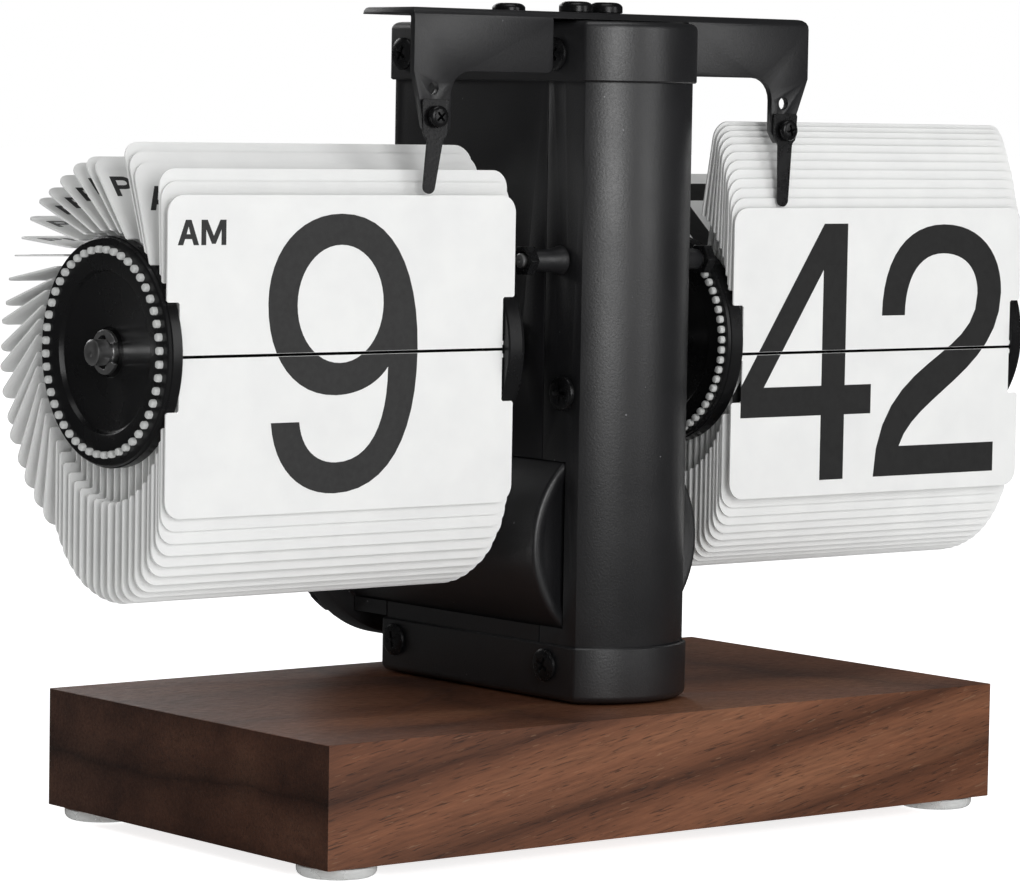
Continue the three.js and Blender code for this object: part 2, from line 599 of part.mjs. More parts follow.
// Hour flaps: two stand behind the showing one, three lean back, and the rest trail the
// drum until they hang straight down on the way back to the front.
function hourTilt(index) {
  if (index <= HOURS.upright) return 2.5;
  if (index <= HOURS.leaning) return 18.2 + (index - HOURS.upright - 1);
  return trailingTilt(HOURS, index);
}

// A trailing flap stands a little off the drum, and more so further round, until it hangs.
function trailingTilt(drum, index) {
  const angle = drum.first + (360 / drum.count) * index;
  return Math.min(angle * 0.9 - 5.4, 180);
}

// Minute flaps: the standing ones are pressed together at the top by the claw.
const TOP_PITCH = 0.49;
function minuteTilt(index) {
  if (index > MINUTES.upright) return trailingTilt(MINUTES, index);
  const topY = -MINUTES.front + GAP + TOP_PITCH * index;
  return THREE.MathUtils.radToDeg(Math.asin((topY - hingeOf(MINUTES, index)[0]) / FLAP.tip));
}

function along([y, z], [dy, dz], distance, side) {
  return [y + dy * distance + dz * side, z + dz * distance - dy * side];
}

// A run of flaps as one book. Where the flaps fan out, every tip stands proud of the
// valleys between them; where they hang, their lower edges make a staircase.
function book(drum, tilt, from, to, { start, tip, left, right }) {
  const sunk = 0.9;
  const half = 0.15;
  const leaves = [];
  for (let i = from; i <= to; i += 1) {
    leaves.push({ hinge: hingeOf(drum, i), way: pointing(tilt(i)), hangs: tilt(i) >= 180 });
  }
  const spot = ({ hinge, way }, distance, across = 0) => along(hinge, way, distance, across);
  const middle = ([y0, z0], [y1, z1]) => [(y0 + y1) / 2, (z0 + z1) / 2];
  const edge = [];
  leaves.forEach((leaf, k) => {
    const next = leaves[k + 1];
    if (leaf.hangs) {
      const before = middle(spot(leaf, tip), spot(leaves[k - 1] ?? leaf, tip));
      const after = next ? middle(spot(leaf, tip), spot(next, tip)) : spot(leaf, tip, half);
      edge.push([before[0], spot(leaf, tip)[1]], [after[0], spot(leaf, tip)[1]]);
      return;
    }
    edge.push(spot(leaf, tip, -half), spot(leaf, tip, half));
    if (next) edge.push(middle(spot(leaf, tip - sunk), spot(next, tip - sunk)));
  });
  const roots = leaves.map((leaf) => spot(leaf, start)).reverse();
  roots[0] = spot(leaves.at(-1), start, half);
  roots[roots.length - 1] = spot(leaves[0], start, -half);
  return prism('x', [...edge, ...roots], left, right);
}

for (const [side, name, drum, tilt] of [[-1, 'hour', HOURS, hourTilt], [1, 'minute', MINUTES, minuteTilt]]) {
  const span = side < 0 ? [-FLAP.outer, -FLAP.inner] : [FLAP.inner, FLAP.outer];
  const trimmed = [span[0] + FLAP.notch, span[1] - FLAP.notch];
  const outline = flapOutline(...span);
  const upHinge = hingeOf(drum, 0)[1];
  const downHinge = hingeOf(drum, drum.last + 1)[1];
  const sheetY = [-drum.front - FLAP.sheet / 2, -drum.front + FLAP.sheet / 2];
  const place = at(DRUM_Y, DRUM_Z);
  const up = outline.map(([z, x]) => [z + upHinge, x]);
  const down = outline.map(([z, x]) => [downHinge - z, x]);
  addPiece(clock, `${name}_falling_flap`, prism('y', up, ...sheetY), MATERIALS.flapWhite, place);
  addPiece(clock, `${name}_lower_flap`, prism('y', down, ...sheetY), MATERIALS.flapWhite, place);
  const main = { left: trimmed[0], right: trimmed[1], start: -0.4, tip: FLAP.tip };
  const wing = { start: 9.6, tip: FLAP.tip - 0.1 };
  const upper = joinAll([
    book(drum, tilt, 1, drum.leaning, main),
    book(drum, tilt, 1, drum.leaning, { ...wing, left: span[0], right: trimmed[0] + 1 }),
    book(drum, tilt, 1, drum.leaning, { ...wing, left: trimmed[1] - 1, right: span[1] })]);
  addPiece(clock, `${name}_upper_flaps`, upper, MATERIALS.flapWhite, place);
  const rear = book(drum, tilt, drum.leaning + 1, drum.last, main);
  addPiece(clock, `${name}_rear_flaps`, rear, MATERIALS.flapWhite, place);
}

// ---------------------------------------------------------------- drums
// Side +1 pieces are drawn along +X; the hour side is the same piece turned half round.
function outerDisc(radius) {
  const { outerFace: face, outerBack: back, dish, dishRadius } = DISC;
  return turned('x', [
    [back, SHAFT.bore], [back, radius], [face - 0.4, radius], [face, radius - 0.4],
    [face, dishRadius], [face - dish, dishRadius - 0.6], [face - dish, SHAFT.bore], [back, SHAFT.bore]], 0, 0, 40);
}

function innerDisc(radius) {
  const { innerFace: face, innerBack: back } = DISC;
  return turned('x', [
    [face, SHAFT.bore], [face, radius - 0.4], [face + 0.4, radius], [back, radius],
    [back, CORE.radius], [CORE.end, CORE.radius], [CORE.end, CORE.bore], [back + 1, CORE.bore],
    [back + 1, SHAFT.bore], [face, SHAFT.bore]], 0, 0, 40);
}

function eClip() {
  const ring = turned('x', [
    [CLIP.start, CLIP.bore], [CLIP.start, CLIP.radius], [CLIP.start + CLIP.width, CLIP.radius],
    [CLIP.start + CLIP.width, CLIP.bore], [CLIP.start, CLIP.bore]], 0, 0, 20);
  return ring.subtract(box(CLIP.start - 1, CLIP.start + 2, 0, 5, -1.2, 1.2));
}

// The inner end is turned down to a neck of the given radius, where the gear sits.
function shaft(innerEnd, neck) {
  const { radius, end } = SHAFT;
  const shoulder = 8.6;
  return turned('x', [
    [innerEnd, 0], [innerEnd, neck], [shoulder, neck], [shoulder + 0.3, radius], [end - 0.4, radius],
    [end, radius - 0.4], [end, 0]], 0, 0, 18);
}

function bush() {
  const { radius, bore, inner, outer, collar, collarEnd } = BUSH;
  const collarStart = COLUMN.halfWidth + GAP;
  return turned('x', [
    [inner, bore], [inner, radius], [collarStart, radius], [collarStart, collar], [collarEnd, collar],
    [collarEnd, radius], [outer, radius], [outer, bore], [inner, bore]], 0, 0, 20);
}

for (const [side, name, sideName, drum] of [[-1, 'hour', 'left', HOURS], [1, 'minute', 'right', MINUTES]]) {
  const place = (mesh) => {
    mesh.rotation.z = side < 0 ? Math.PI : 0;
    mesh.position.set(0, DRUM_Y, DRUM_Z);
  };
  addPiece(clock, `${name}_outer_disc`, outerDisc(drum.disc), MATERIALS.blackPlastic, place);
  addPiece(clock, `${name}_inner_disc`, innerDisc(drum.disc), MATERIALS.blackPlastic, place);
  const arbor = side < 0 ? shaft(6, SHAFT.radius - 0.1) : shaft(4, SHAFT.neck);
  addPiece(clock, `${name}_shaft`, arbor, MATERIALS.steel, place);
  addPiece(clock, `${name}_clip`, eClip(), MATERIALS.steel, place);
  addPiece(clock, `shaft_bush_${sideName}`, bush(), MATERIALS.blackSteel, place);
}

export default clock;
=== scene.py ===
"""Looks for the flip desk clock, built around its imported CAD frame.

Shapes are worked out in millimetres and written to Blender in metres. +Z is up, -Y is the front.
A turned piece is given by its profile: rows of (distance along the axis, radius), in millimetres.
"""
import math
import random

import bmesh
import bpy
from mathutils import Matrix, Vector
from mathutils.geometry import tessellate_polygon


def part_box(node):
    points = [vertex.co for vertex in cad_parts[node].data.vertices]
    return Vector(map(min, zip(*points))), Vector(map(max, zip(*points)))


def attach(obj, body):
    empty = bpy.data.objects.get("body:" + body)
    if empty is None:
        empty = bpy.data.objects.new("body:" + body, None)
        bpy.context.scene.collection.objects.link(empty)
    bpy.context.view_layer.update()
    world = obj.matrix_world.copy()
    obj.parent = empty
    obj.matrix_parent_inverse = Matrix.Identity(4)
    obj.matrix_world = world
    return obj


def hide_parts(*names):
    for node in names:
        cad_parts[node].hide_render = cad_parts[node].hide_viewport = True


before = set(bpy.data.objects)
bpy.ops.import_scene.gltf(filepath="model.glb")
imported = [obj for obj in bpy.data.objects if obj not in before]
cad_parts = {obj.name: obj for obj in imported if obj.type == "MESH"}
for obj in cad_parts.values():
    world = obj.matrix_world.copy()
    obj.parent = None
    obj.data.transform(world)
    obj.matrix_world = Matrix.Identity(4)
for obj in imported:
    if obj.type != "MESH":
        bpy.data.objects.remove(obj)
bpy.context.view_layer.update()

MM = 0.001
TAU = 2 * math.pi
random.seed(12)


# ---------------------------------------------------------------- places read from the frame
def box_mm(node):
    low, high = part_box(node)
    return low / MM, high / MM


def centre_mm(node):
    low, high = box_mm(node)
    return (low + high) / 2


AXIS_Y, AXIS_Z = centre_mm("hour_outer_disc")[1:]
FLAP_LOW, FLAP_HIGH = box_mm("hour_falling_flap")
TUBE_LOW, TUBE_HIGH = box_mm("battery_tube")
TUBE_Z = (TUBE_LOW.z + TUBE_HIGH.z) / 2


# ---------------------------------------------------------------- mesh building
# An outline's two axes and its depth follow one another in cyclic order, as in the CAD.
def on_x(u, v, depth):
    return Vector((depth, u, v))


def on_y(u, v, depth):
    return Vector((v, depth, u))


def on_z(u, v, depth):
    return Vector((u, v, depth))


def add_prism(bm, loops, place, start, end, material=0):
    """A flat outline with holes, given as loops of (u, v), drawn out from start to end."""
    points = [p for loop in loops for p in loop]
    near = [bm.verts.new(place(u, v, start)) for u, v in points]
    far = [bm.verts.new(place(u, v, end)) for u, v in points]
    if len(loops) == 1:
        faces = [bm.faces.new(near), bm.faces.new(far[::-1])]
    else:
        faces = []
        for a, b, c in tessellate_polygon([[Vector((u, v, 0)) for u, v in loop] for loop in loops]):
            faces.append(bm.faces.new((near[a], near[b], near[c])))
            faces.append(bm.faces.new((far[c], far[b], far[a])))
    first = 0
    for loop in loops:
        count = len(loop)
        for i in range(count):
            a, b = first + i, first + (i + 1) % count
            faces.append(bm.faces.new((near[a], near[b], far[b], far[a])))
        first += count
    for face in faces:
        face.material_index = material


def add_lathe(bm, place, profile, u=0.0, v=0.0, steps=64, material=0):
    """A turned solid, whose profile starts and ends on the axis or closes on itself."""
    turns = [(math.cos(TAU * i / steps), math.sin(TAU * i / steps)) for i in range(steps)]
    closed = profile[0] == profile[-1]
    rows = []
    for along, radius in profile[:-1] if closed else profile:
        if radius < 1e-6:
            rows.append([bm.verts.new(place(u, v, along))] * steps)
        else:
            rows.append([bm.verts.new(place(u + radius * c, v + radius * s, along)) for c, s in turns])
    pairs = list(zip(rows, rows[1:])) + ([(rows[-1], rows[0])] if closed else [])
    for low, high in pairs:
        for i in range(steps):
            j = (i + 1) % steps
            corners = list(dict.fromkeys((low[i], low[j], high[j], high[i])))
            if len(corners) > 2:
                bm.faces.new(corners).material_index = material


def add_loft(bm, rings, material=0):
    """Rings of equally many points, joined in order and closed at both ends."""
    rows = [[bm.verts.new(Vector(p)) for p in ring] for ring in rings]
    for low, high in zip(rows, rows[1:]):
        for i in range(len(low)):
            j = (i + 1) % len(low)
            bm.faces.new((low[i], low[j], high[j], high[i])).material_index = material
    bm.faces.new(rows[0]).material_index = material
    bm.faces.new(rows[-1][::-1]).material_index = material


def arc(u, v, radius, start, end, steps):
    angles = [math.radians(start + (end - start) * i / steps) for i in range(steps + 1)]
    return [(u + radius * math.cos(a), v + radius * math.sin(a)) for a in angles]


def rounded_box(half_u, half_v, radius, steps=3):
    corners = ((1, 1, 0), (-1, 1, 90), (-1, -1, 180), (1, -1, 270))
    flat_u, flat_v = half_u - radius, half_v - radius
    return [p for su, sv, angle in corners
            for p in arc(su * flat_u, sv * flat_v, radius, angle, angle + 90, steps)]


def to_mesh(name, bm):
    bmesh.ops.recalc_face_normals(bm, faces=bm.faces)
    mesh = bpy.data.meshes.new(name)
    bmesh.ops.scale(bm, vec=(MM,) * 3, verts=bm.verts)
    bm.to_mesh(mesh)
    bm.free()
    return mesh


def new_object(name, data):
    obj = bpy.data.objects.new(name, data)
    bpy.context.scene.collection.objects.link(obj)
    return obj


def add_bevel(obj, width):
    bevel = obj.modifiers.new("soft_edges", "BEVEL")
    bevel.width = width * MM
    bevel.segments = 2
    bevel.limit_method = "ANGLE"
    bevel.angle_limit = math.radians(38)
    bevel.harden_normals = False


def piece(name, mesh, materials, body, replaced, bevel=0.0, smooth=32):
    """A finished piece of the clock: it rides on a body and stands for the replaced CAD nodes."""
    if isinstance(mesh, bmesh.types.BMesh):
        mesh = to_mesh(name, mesh)
    for material in materials:
        mesh.materials.append(material)
    mesh.polygons.foreach_set("use_smooth", [True] * len(mesh.polygons))
    mesh.set_sharp_from_angle(angle=math.radians(smooth))
    obj = new_object(name, mesh)
    if bevel:
        add_bevel(obj, bevel)
    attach(obj, body)
    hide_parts(*replaced)


def cut(mesh, cutters):
    """The mesh with each cutter's mesh taken away from it."""
    body = new_object("cut_body", mesh)
    tools = []
    for cutter in cutters:
        tool = new_object("cut_tool", cutter)
        boolean = body.modifiers.new("cut", "BOOLEAN")
        boolean.operation = "DIFFERENCE"
        boolean.solver = "EXACT"
        boolean.object = tool
        tools.append(tool)
    bpy.context.view_layer.update()
    graph = bpy.context.evaluated_depsgraph_get()
    result = bpy.data.meshes.new_from_object(body.evaluated_get(graph))
    for obj in (body, *tools):
        bpy.data.objects.remove(obj)
    return result


# ---------------------------------------------------------------- materials
def new_material(name, color, roughness, metallic=0.0):
    material = bpy.data.materials.new(name)
    material.use_nodes = True
    shader = material.node_tree.nodes["Principled BSDF"]
    shader.inputs["Base Color"].default_value = (*color, 1)
    shader.inputs["Roughness"].default_value = roughness
    shader.inputs["Metallic"].default_value = metallic
    return material, material.node_tree, shader


def add_node(tree, kind, values=None, links=None):
    """A shader node with its inputs set from values and wired from links."""
    node = tree.nodes.new("ShaderNode" + kind)
    for key, value in (values or {}).items():
        node.inputs[key].default_value = value
    for key, socket in (links or {}).items():
        tree.links.new(socket, node.inputs[key])
    return node


def coordinates(tree, scale=(1, 1, 1), rotation=(0, 0, 0)):
    """Places on the object, in metres."""
    source = add_node(tree, "TexCoord").outputs["Object"]
    values = {"Scale": scale, "Rotation": rotation}
    return add_node(tree, "Mapping", values, {"Vector": source}).outputs["Vector"]


def noise(tree, vector, scale, detail=3.0, roughness=0.5, distortion=0.0):
    values = {"Scale": scale, "Detail": detail, "Roughness": roughness, "Distortion": distortion}
    return add_node(tree, "TexNoise", values, {"Vector": vector}).outputs["Fac"]


def remap(tree, value, low, high, to_low=0.0, to_high=1.0):
    values = {"From Min": low, "From Max": high, "To Min": to_low, "To Max": to_high}
    return add_node(tree, "MapRange", values, {"Value": value}).outputs["Result"]


def math_node(tree, operation, a, b):
    node = add_node(tree, "Math")
    node.operation = operation
    for socket, value in zip(node.inputs, (a, b)):
        if isinstance(value, (int, float)):
            socket.default_value = value
        else:
            tree.links.new(value, socket)
    return node.outputs["Value"]


def mix_color(tree, factor, a, b, blend="MIX"):
    node = add_node(tree, "Mix")
    node.data_type = "RGBA"
    node.blend_type = blend
    for key, value in (("Factor", factor), ("A", a), ("B", b)):
        kind = "VALUE" if key == "Factor" else "RGBA"
        socket = next(s for s in node.inputs if s.name == key and s.type == kind)
        if isinstance(value, tuple):
            socket.default_value = (*value, 1)
        elif isinstance(value, (int, float)):
            socket.default_value = value
        else:
            tree.links.new(value, socket)
    return next(s for s in node.outputs if s.type == "RGBA")


def ramp(tree, value, stops):
    node = add_node(tree, "ValToRGB", links={"Fac": value})
    elements = node.color_ramp.elements
    while len(elements) < len(stops):
        elements.new(0.5)
    for element, (position, color) in zip(elements, stops):
        element.position = position
        element.color = (*color, 1)
    return node.outputs["Color"]


def bump(tree, shader, height, strength, distance):
    node = add_node(tree, "Bump", {"Strength": strength, "Distance": distance}, {"Height": height})
    tree.links.new(node.outputs["Normal"], shader.inputs["Normal"])


def vary_color(tree, shader, field, low, high, spread=(0.3, 0.7)):
    """The base colour goes from low to high as the field crosses its spread."""
    tone = mix_color(tree, remap(tree, field, *spread), low, high)
    tree.links.new(tone, shader.inputs["Base Color"])


def vary_roughness(tree, shader, field, low, high):
    tree.links.new(remap(tree, field, 0.3, 0.7, low, high), shader.inputs["Roughness"])


def powder_coat():
    """Satin black coat: a fine orange peel, patches that are a little smoother, and dust."""
    material, tree, shader = new_material("powder_coat_black", (0.012, 0.012, 0.013), 0.42)
    shader.inputs["Specular IOR Level"].default_value = 0.95
    plain = coordinates(tree)
    fine = noise(tree, plain, 2600, 2)
    patches = noise(tree, plain, 60, 3)
    roughness = math_node(tree, "ADD", remap(tree, patches, 0.3, 0.7, 0.34, 0.42),
                          remap(tree, fine, 0.3, 0.7, 0, 0.06))
    tree.links.new(roughness, shader.inputs["Roughness"])
    specks = add_node(tree, "TexVoronoi", {"Scale": 190}, {"Vector": plain})
    dust = math_node(tree, "LESS_THAN", specks.outputs["Distance"], 0.035)
    tone = mix_color(tree, remap(tree, patches, 0.3, 0.7), (0.008, 0.008, 0.0092),
                     (0.011, 0.011, 0.0126))
    tone = mix_color(tree, math_node(tree, "MULTIPLY", dust, 0.5), tone, (0.25, 0.25, 0.26))
    tree.links.new(tone, shader.inputs["Base Color"])
    bump(tree, shader, fine, 0.22, 0.00012)
    return material


def black_steel():
    """Blackened screws and claws, rubbed lighter in streaks."""
    material, tree, shader = new_material("black_steel", (0.010, 0.010, 0.011), 0.22, 0.35)
    plain = coordinates(tree)
    rub = noise(tree, plain, 420, 5, 0.65)
    vary_color(tree, shader, rub, (0.006, 0.006, 0.0065), (0.018, 0.018, 0.019), (0.35, 0.75))
    vary_roughness(tree, shader, rub, 0.18, 0.36)
    bump(tree, shader, noise(tree, plain, 1800, 3), 0.2, 0.0001)
    return material


def black_plastic():
    """Glossy moulding with faint flow marks and handling haze."""
    material, tree, shader = new_material("black_plastic", (0.006, 0.006, 0.0065), 0.24)
    shader.inputs["Specular IOR Level"].default_value = 0.35
    plain = coordinates(tree)
    haze = noise(tree, plain, 95, 4, 0.6)
    vary_color(tree, shader, haze, (0.005, 0.005, 0.0055), (0.009, 0.009, 0.0095), (0, 1))
    vary_roughness(tree, shader, haze, 0.2, 0.34)
    bump(tree, shader, noise(tree, plain, 700, 3), 0.08, 0.0001)
    return material


def flap_sheet():
    """Thin white plastic sheet with a slight mottle and a satin face."""
    material, tree, shader = new_material("flap_white", (0.84, 0.845, 0.84), 0.42)
    plain = coordinates(tree)
    mottle = noise(tree, plain, 130, 4)
    vary_color(tree, shader, mottle, (0.82, 0.825, 0.82), (0.865, 0.87, 0.86))
    vary_roughness(tree, shader, mottle, 0.38, 0.5)
    bump(tree, shader, noise(tree, plain, 3200, 2), 0.05, 0.00005)
    return material


def printing_ink(name, tone):
    """Screen-printed ink, with the faint unevenness of a printed solid."""
    material, tree, shader = new_material(name, (tone, tone, tone), 0.5)
    shader.inputs["Specular IOR Level"].default_value = 0.25
    cover = noise(tree, coordinates(tree), 900, 4, 0.6)
    vary_color(tree, shader, cover, (tone * 0.85,) * 3, (tone * 1.15,) * 3)
    vary_roughness(tree, shader, cover, 0.42, 0.56)
    return material


def brushed_steel(name, color, roughness, stretch):
    """Turned or brushed metal: fine lines stretched along the given axes."""
    material, tree, shader = new_material(name, color, roughness, 1.0)
    lines = noise(tree, coordinates(tree, stretch), 1.0, 4, 0.6)
    stain = noise(tree, coordinates(tree), 260, 3)
    vary_color(tree, shader, stain, tuple(c * 0.72 for c in color), color, (0.35, 0.7))
    vary_roughness(tree, shader, lines, roughness - 0.07, roughness + 0.1)
    bump(tree, shader, lines, 0.12, 0.0001)
    return material


def silicone():
    """Cloudy clear rubber."""
    material, tree, shader = new_material("silicone_clear", (0.86, 0.87, 0.86), 0.28)
    shader.inputs["Transmission Weight"].default_value = 0.35
    shader.inputs["IOR"].default_value = 1.41
    cloud = noise(tree, coordinates(tree), 240, 3)
    vary_color(tree, shader, cloud, (0.80, 0.81, 0.80), (0.90, 0.91, 0.90), (0, 1))
    vary_roughness(tree, shader, cloud, 0.22, 0.36)
    return material


def moulded(name, color, roughness):
    """Plain moulded plastic with a fine grain."""
    material, tree, shader = new_material(name, color, roughness)
    grain = noise(tree, coordinates(tree), 800, 3)
    vary_color(tree, shader, grain, tuple(c * 0.9 for c in color), color)
    vary_roughness(tree, shader, grain, roughness - 0.05, roughness + 0.08)
    bump(tree, shader, grain, 0.1, 0.0001)
    return material


def cell_sleeve():
    """The printed film round the battery cell."""
    material, tree, shader = new_material("cell_sleeve", (0.05, 0.13, 0.25), 0.35)
    grain = noise(tree, coordinates(tree), 300, 3)
    vary_color(tree, shader, grain, (0.04, 0.11, 0.22), (0.06, 0.15, 0.28), (0, 1))
    vary_roughness(tree, shader, grain, 0.3, 0.42)
    return material


def walnut():
    """Solid walnut: growth lines climbing along the front, fibre, pores, and end faces darkened,
    partly as real end grain and partly as painted shade.
    """
    material, tree, shader = new_material("walnut", (0.12, 0.05, 0.028), 0.5)
    shader.inputs["Specular IOR Level"].default_value = 0.35
    board = coordinates(tree, rotation=(0.0, math.radians(11), math.radians(3)))

    def along(*scale):
        """The board's own directions, each scaled, so that what is drawn there runs with the grain."""
        return add_node(tree, "Mapping", {"Scale": scale}, {"Vector": board}).outputs["Vector"]

    wave = {"Scale": 24.0, "Distortion": 3.4, "Detail": 3.0, "Detail Scale": 0.9,
            "Detail Roughness": 0.55}
    lines = add_node(tree, "TexWave", wave, {"Vector": along(0.12, 0.6, 1.0)})
    lines.wave_type = "BANDS"
    lines.bands_direction = "Z"
    lines.wave_profile = "SAW"
    ring = ramp(tree, lines.outputs["Fac"], (
        (0.0, (0.30, 0.27, 0.26)), (0.10, (0.62, 0.60, 0.58)), (0.45, (1.0, 1.0, 1.0)),
        (0.82, (0.80, 0.78, 0.76)), (1.0, (0.42, 0.38, 0.36))))
    drift = noise(tree, along(5, 45, 70), 1.0, 4, 0.55, 0.4)
    base = ramp(tree, drift, (
        (0.28, (0.110, 0.040, 0.020)), (0.42, (0.185, 0.068, 0.031)),
        (0.55, (0.240, 0.092, 0.043)), (0.70, (0.300, 0.128, 0.062))))
    base = mix_color(tree, 0.85, base, ring, "MULTIPLY")
    fibre = noise(tree, along(60, 2100, 2100), 1.0, 4, 0.6)
    fibre_tone = ramp(tree, fibre, ((0.3, (0.42, 0.40, 0.38)), (0.68, (1.0, 1.0, 1.0))))
    base = mix_color(tree, 0.6, base, fibre_tone, "MULTIPLY")
    pores = remap(tree, noise(tree, along(130, 3600, 3600), 1.0, 2, 0.5), 0.60, 0.68)
    base = mix_color(tree, math_node(tree, "MULTIPLY", pores, 0.6), base, (0.016, 0.008, 0.006))
    flecks = remap(tree, noise(tree, along(240, 2500, 2500), 1.0, 1, 0.5), 0.70, 0.74)
    base = mix_color(tree, math_node(tree, "MULTIPLY", flecks, 0.2), base, (0.42, 0.27, 0.16))
    # Faces turned to either side (along X) are darkened: partly real end grain, partly painted shade
    # for the little light that reaches the ends.
    facing = add_node(tree, "NewGeometry").outputs["Normal"]
    split = add_node(tree, "SeparateXYZ", links={"Vector": facing})
    sideways = math_node(tree, "ABSOLUTE", split.outputs["X"], 0.0)
    end_grain_and_painted_shade = math_node(tree, "MULTIPLY", remap(tree, sideways, 0.7, 0.95), 0.9)
    base = mix_color(tree, end_grain_and_painted_shade, base, (0.30, 0.30, 0.34), "MULTIPLY")
    tree.links.new(base, shader.inputs["Base Color"])
    vary_roughness(tree, shader, fibre, 0.58, 0.42)
    relief = math_node(tree, "SUBTRACT", math_node(tree, "MULTIPLY", fibre, 0.35), pores)
    bump(tree, shader, relief, 0.35, 0.00012)
    return material


COAT = powder_coat()
BLACK_STEEL = black_steel()
PLASTIC = black_plastic()
SHEET = flap_sheet()
HOUR_INK = printing_ink("ink_grey", 0.036)
MINUTE_INK = printing_ink("ink_black", 0.022)
STEEL = brushed_steel("turned_steel", (0.72, 0.72, 0.72), 0.36, (5200, 900, 900))
BRASS = brushed_steel("cut_brass", (0.72, 0.53, 0.25), 0.32, (3000, 900, 900))
SILICONE = silicone()
GEAR = moulded("acetal", (0.80, 0.79, 0.73), 0.45)
PIN = moulded("pin_end", (0.60, 0.61, 0.60), 0.42)
WALNUT = walnut()
SLEEVE = cell_sleeve()


# ---------------------------------------------------------------- camera, light and floor
AMBIENT = {"diffuse": 0.33, "glossy": 0.03}
CAMERA = {"azimuth": -38.678, "elevation": 4.290, "roll": 0.986, "lens": 157.43,
          "place": (-0.50619, -0.62698, 0.127285)}


def make_camera():
    azimuth, elevation, roll = (math.radians(CAMERA[k]) for k in ("azimuth", "elevation", "roll"))
    flat = math.cos(elevation)
    back = Vector((math.sin(azimuth) * flat, -math.cos(azimuth) * flat, math.sin(elevation)))
    level = (-back).cross(Vector((0, 0, 1))).normalized()
    rise = level.cross(-back)
    right = level * math.cos(roll) + rise * math.sin(roll)
    up = rise * math.cos(roll) - level * math.sin(roll)
    data = bpy.data.cameras.new("camera")
    data.sensor_fit = "HORIZONTAL"
    data.sensor_width = 36
    data.lens = CAMERA["lens"]
    data.clip_start = 0.01
    camera = new_object("camera", data)
    rows = zip(right, up, back, CAMERA["place"])
    camera.matrix_world = Matrix((*rows, (0, 0, 0, 1)))
    bpy.context.scene.camera = camera


def area_light(name, place, target, size, power):
    data = bpy.data.lights.new(name, "AREA")
    data.shape = "RECTANGLE"
    data.size, data.size_y = size
    data.energy = power
    light = new_object(name, data)
    light.location = place
    light.rotation_euler = (Vector(target) - Vector(place)).to_track_quat("-Z", "Y").to_euler()


def make_studio():
    scene = bpy.context.scene
    scene.view_settings.view_transform = "Standard"
    world = bpy.data.worlds.new("studio")
    scene.world = world
    world.use_nodes = True
    tree = world.node_tree
    background = tree.nodes["Background"]
    background.inputs["Color"].default_value = (1, 1, 1, 1)
    path = add_node(tree, "LightPath")
    glossy = remap(tree, path.outputs["Is Glossy Ray"], 0, 1, AMBIENT["diffuse"], AMBIENT["glossy"])
    strength = math_node(tree, "MAXIMUM", glossy, path.outputs["Is Camera Ray"])
    tree.links.new(strength, background.inputs["Strength"])
    area_light("key_left", (-0.44, -1.42, 0.45), (0, 0, 0.08), (0.6, 1.0), 8.6)
    area_light("fill_right", (0.68, -1.32, 0.35), (0, 0, 0.08), (0.5, 1.0), 3.6)
    area_light("top", (0.0, -0.1, 1.2), (0, 0, 0.1), (0.7, 0.5), 2)
    area_light("back", (0.15, 1.4, 0.6), (0, 0, 0.05), (1.4, 0.4), 4.5)
    half = 9.0
    corners = [(-half, -half, 0), (half, -half, 0), (half, half, 0), (-half, half, 0)]
    mesh = bpy.data.meshes.new("floor")
    mesh.from_pydata(corners, [], [(0, 1, 2, 3)])
    floor = new_object("floor", mesh)
    material, tree, shader = new_material("floor_pale", (0.92, 0.92, 0.92), 0.8)
    path = add_node(tree, "LightPath")
    shader.inputs["Emission Color"].default_value = (1, 1, 1, 1)
    mirrored = path.outputs["Is Glossy Ray"]
    seen = math_node(tree, "MULTIPLY", path.outputs["Is Camera Ray"], 0.8)
    glow = math_node(tree, "MAXIMUM", remap(tree, mirrored, 0, 1, 0.3, 0), seen)
    tree.links.new(glow, shader.inputs["Emission Strength"])
    vary_color(tree, shader, mirrored, (0.92, 0.92, 0.92), (0.1, 0.1, 0.1), (0, 1))
    mesh.materials.append(material)


make_camera()
make_studio()


# ---------------------------------------------------------------- CAD nodes that stay
def sharp_by_angle(degrees):
    """A node group that smooths a mesh except along its edges sharper than this."""
    tree = bpy.data.node_groups.new("sharp_by_angle", "GeometryNodeTree")
    for way in ("INPUT", "OUTPUT"):
        tree.interface.new_socket("Geometry", in_out=way, socket_type="NodeSocketGeometry")
    start = tree.nodes.new("NodeGroupInput")
    end = tree.nodes.new("NodeGroupOutput")
    angle = tree.nodes.new("GeometryNodeInputMeshEdgeAngle")
    compare = tree.nodes.new("ShaderNodeMath")
    compare.operation = "LESS_THAN"
    compare.inputs[1].default_value = math.radians(degrees)
    smooth = tree.nodes.new("GeometryNodeSetShadeSmooth")
    smooth.domain = "EDGE"
    tree.links.new(angle.outputs["Unsigned Angle"], compare.inputs[0])
    tree.links.new(compare.outputs[0], smooth.inputs["Shade Smooth"])
    tree.links.new(start.outputs["Geometry"], smooth.inputs["Geometry"])
    tree.links.new(smooth.outputs["Geometry"], end.inputs["Geometry"])
    return tree


SHARP_EDGES = sharp_by_angle(32)


def finish_node(name, material, bevel=0.0):
    """A carried-over CAD node: better material, welded faces, softened edges, smooth shading."""
    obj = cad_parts[name]
    mesh = obj.data
    mesh.materials.clear()
    mesh.materials.append(material)
    if "custom_normal" in mesh.attributes:
        mesh.attributes.remove(mesh.attributes["custom_normal"])
    mesh.polygons.foreach_set("use_smooth", [True] * len(mesh.polygons))
    obj.modifiers.new("weld", "WELD").merge_threshold = 0.002 * MM
    if bevel:
        add_bevel(obj, bevel)
    obj.modifiers.new("sharp_by_angle", "NODES").node_group = SHARP_EDGES


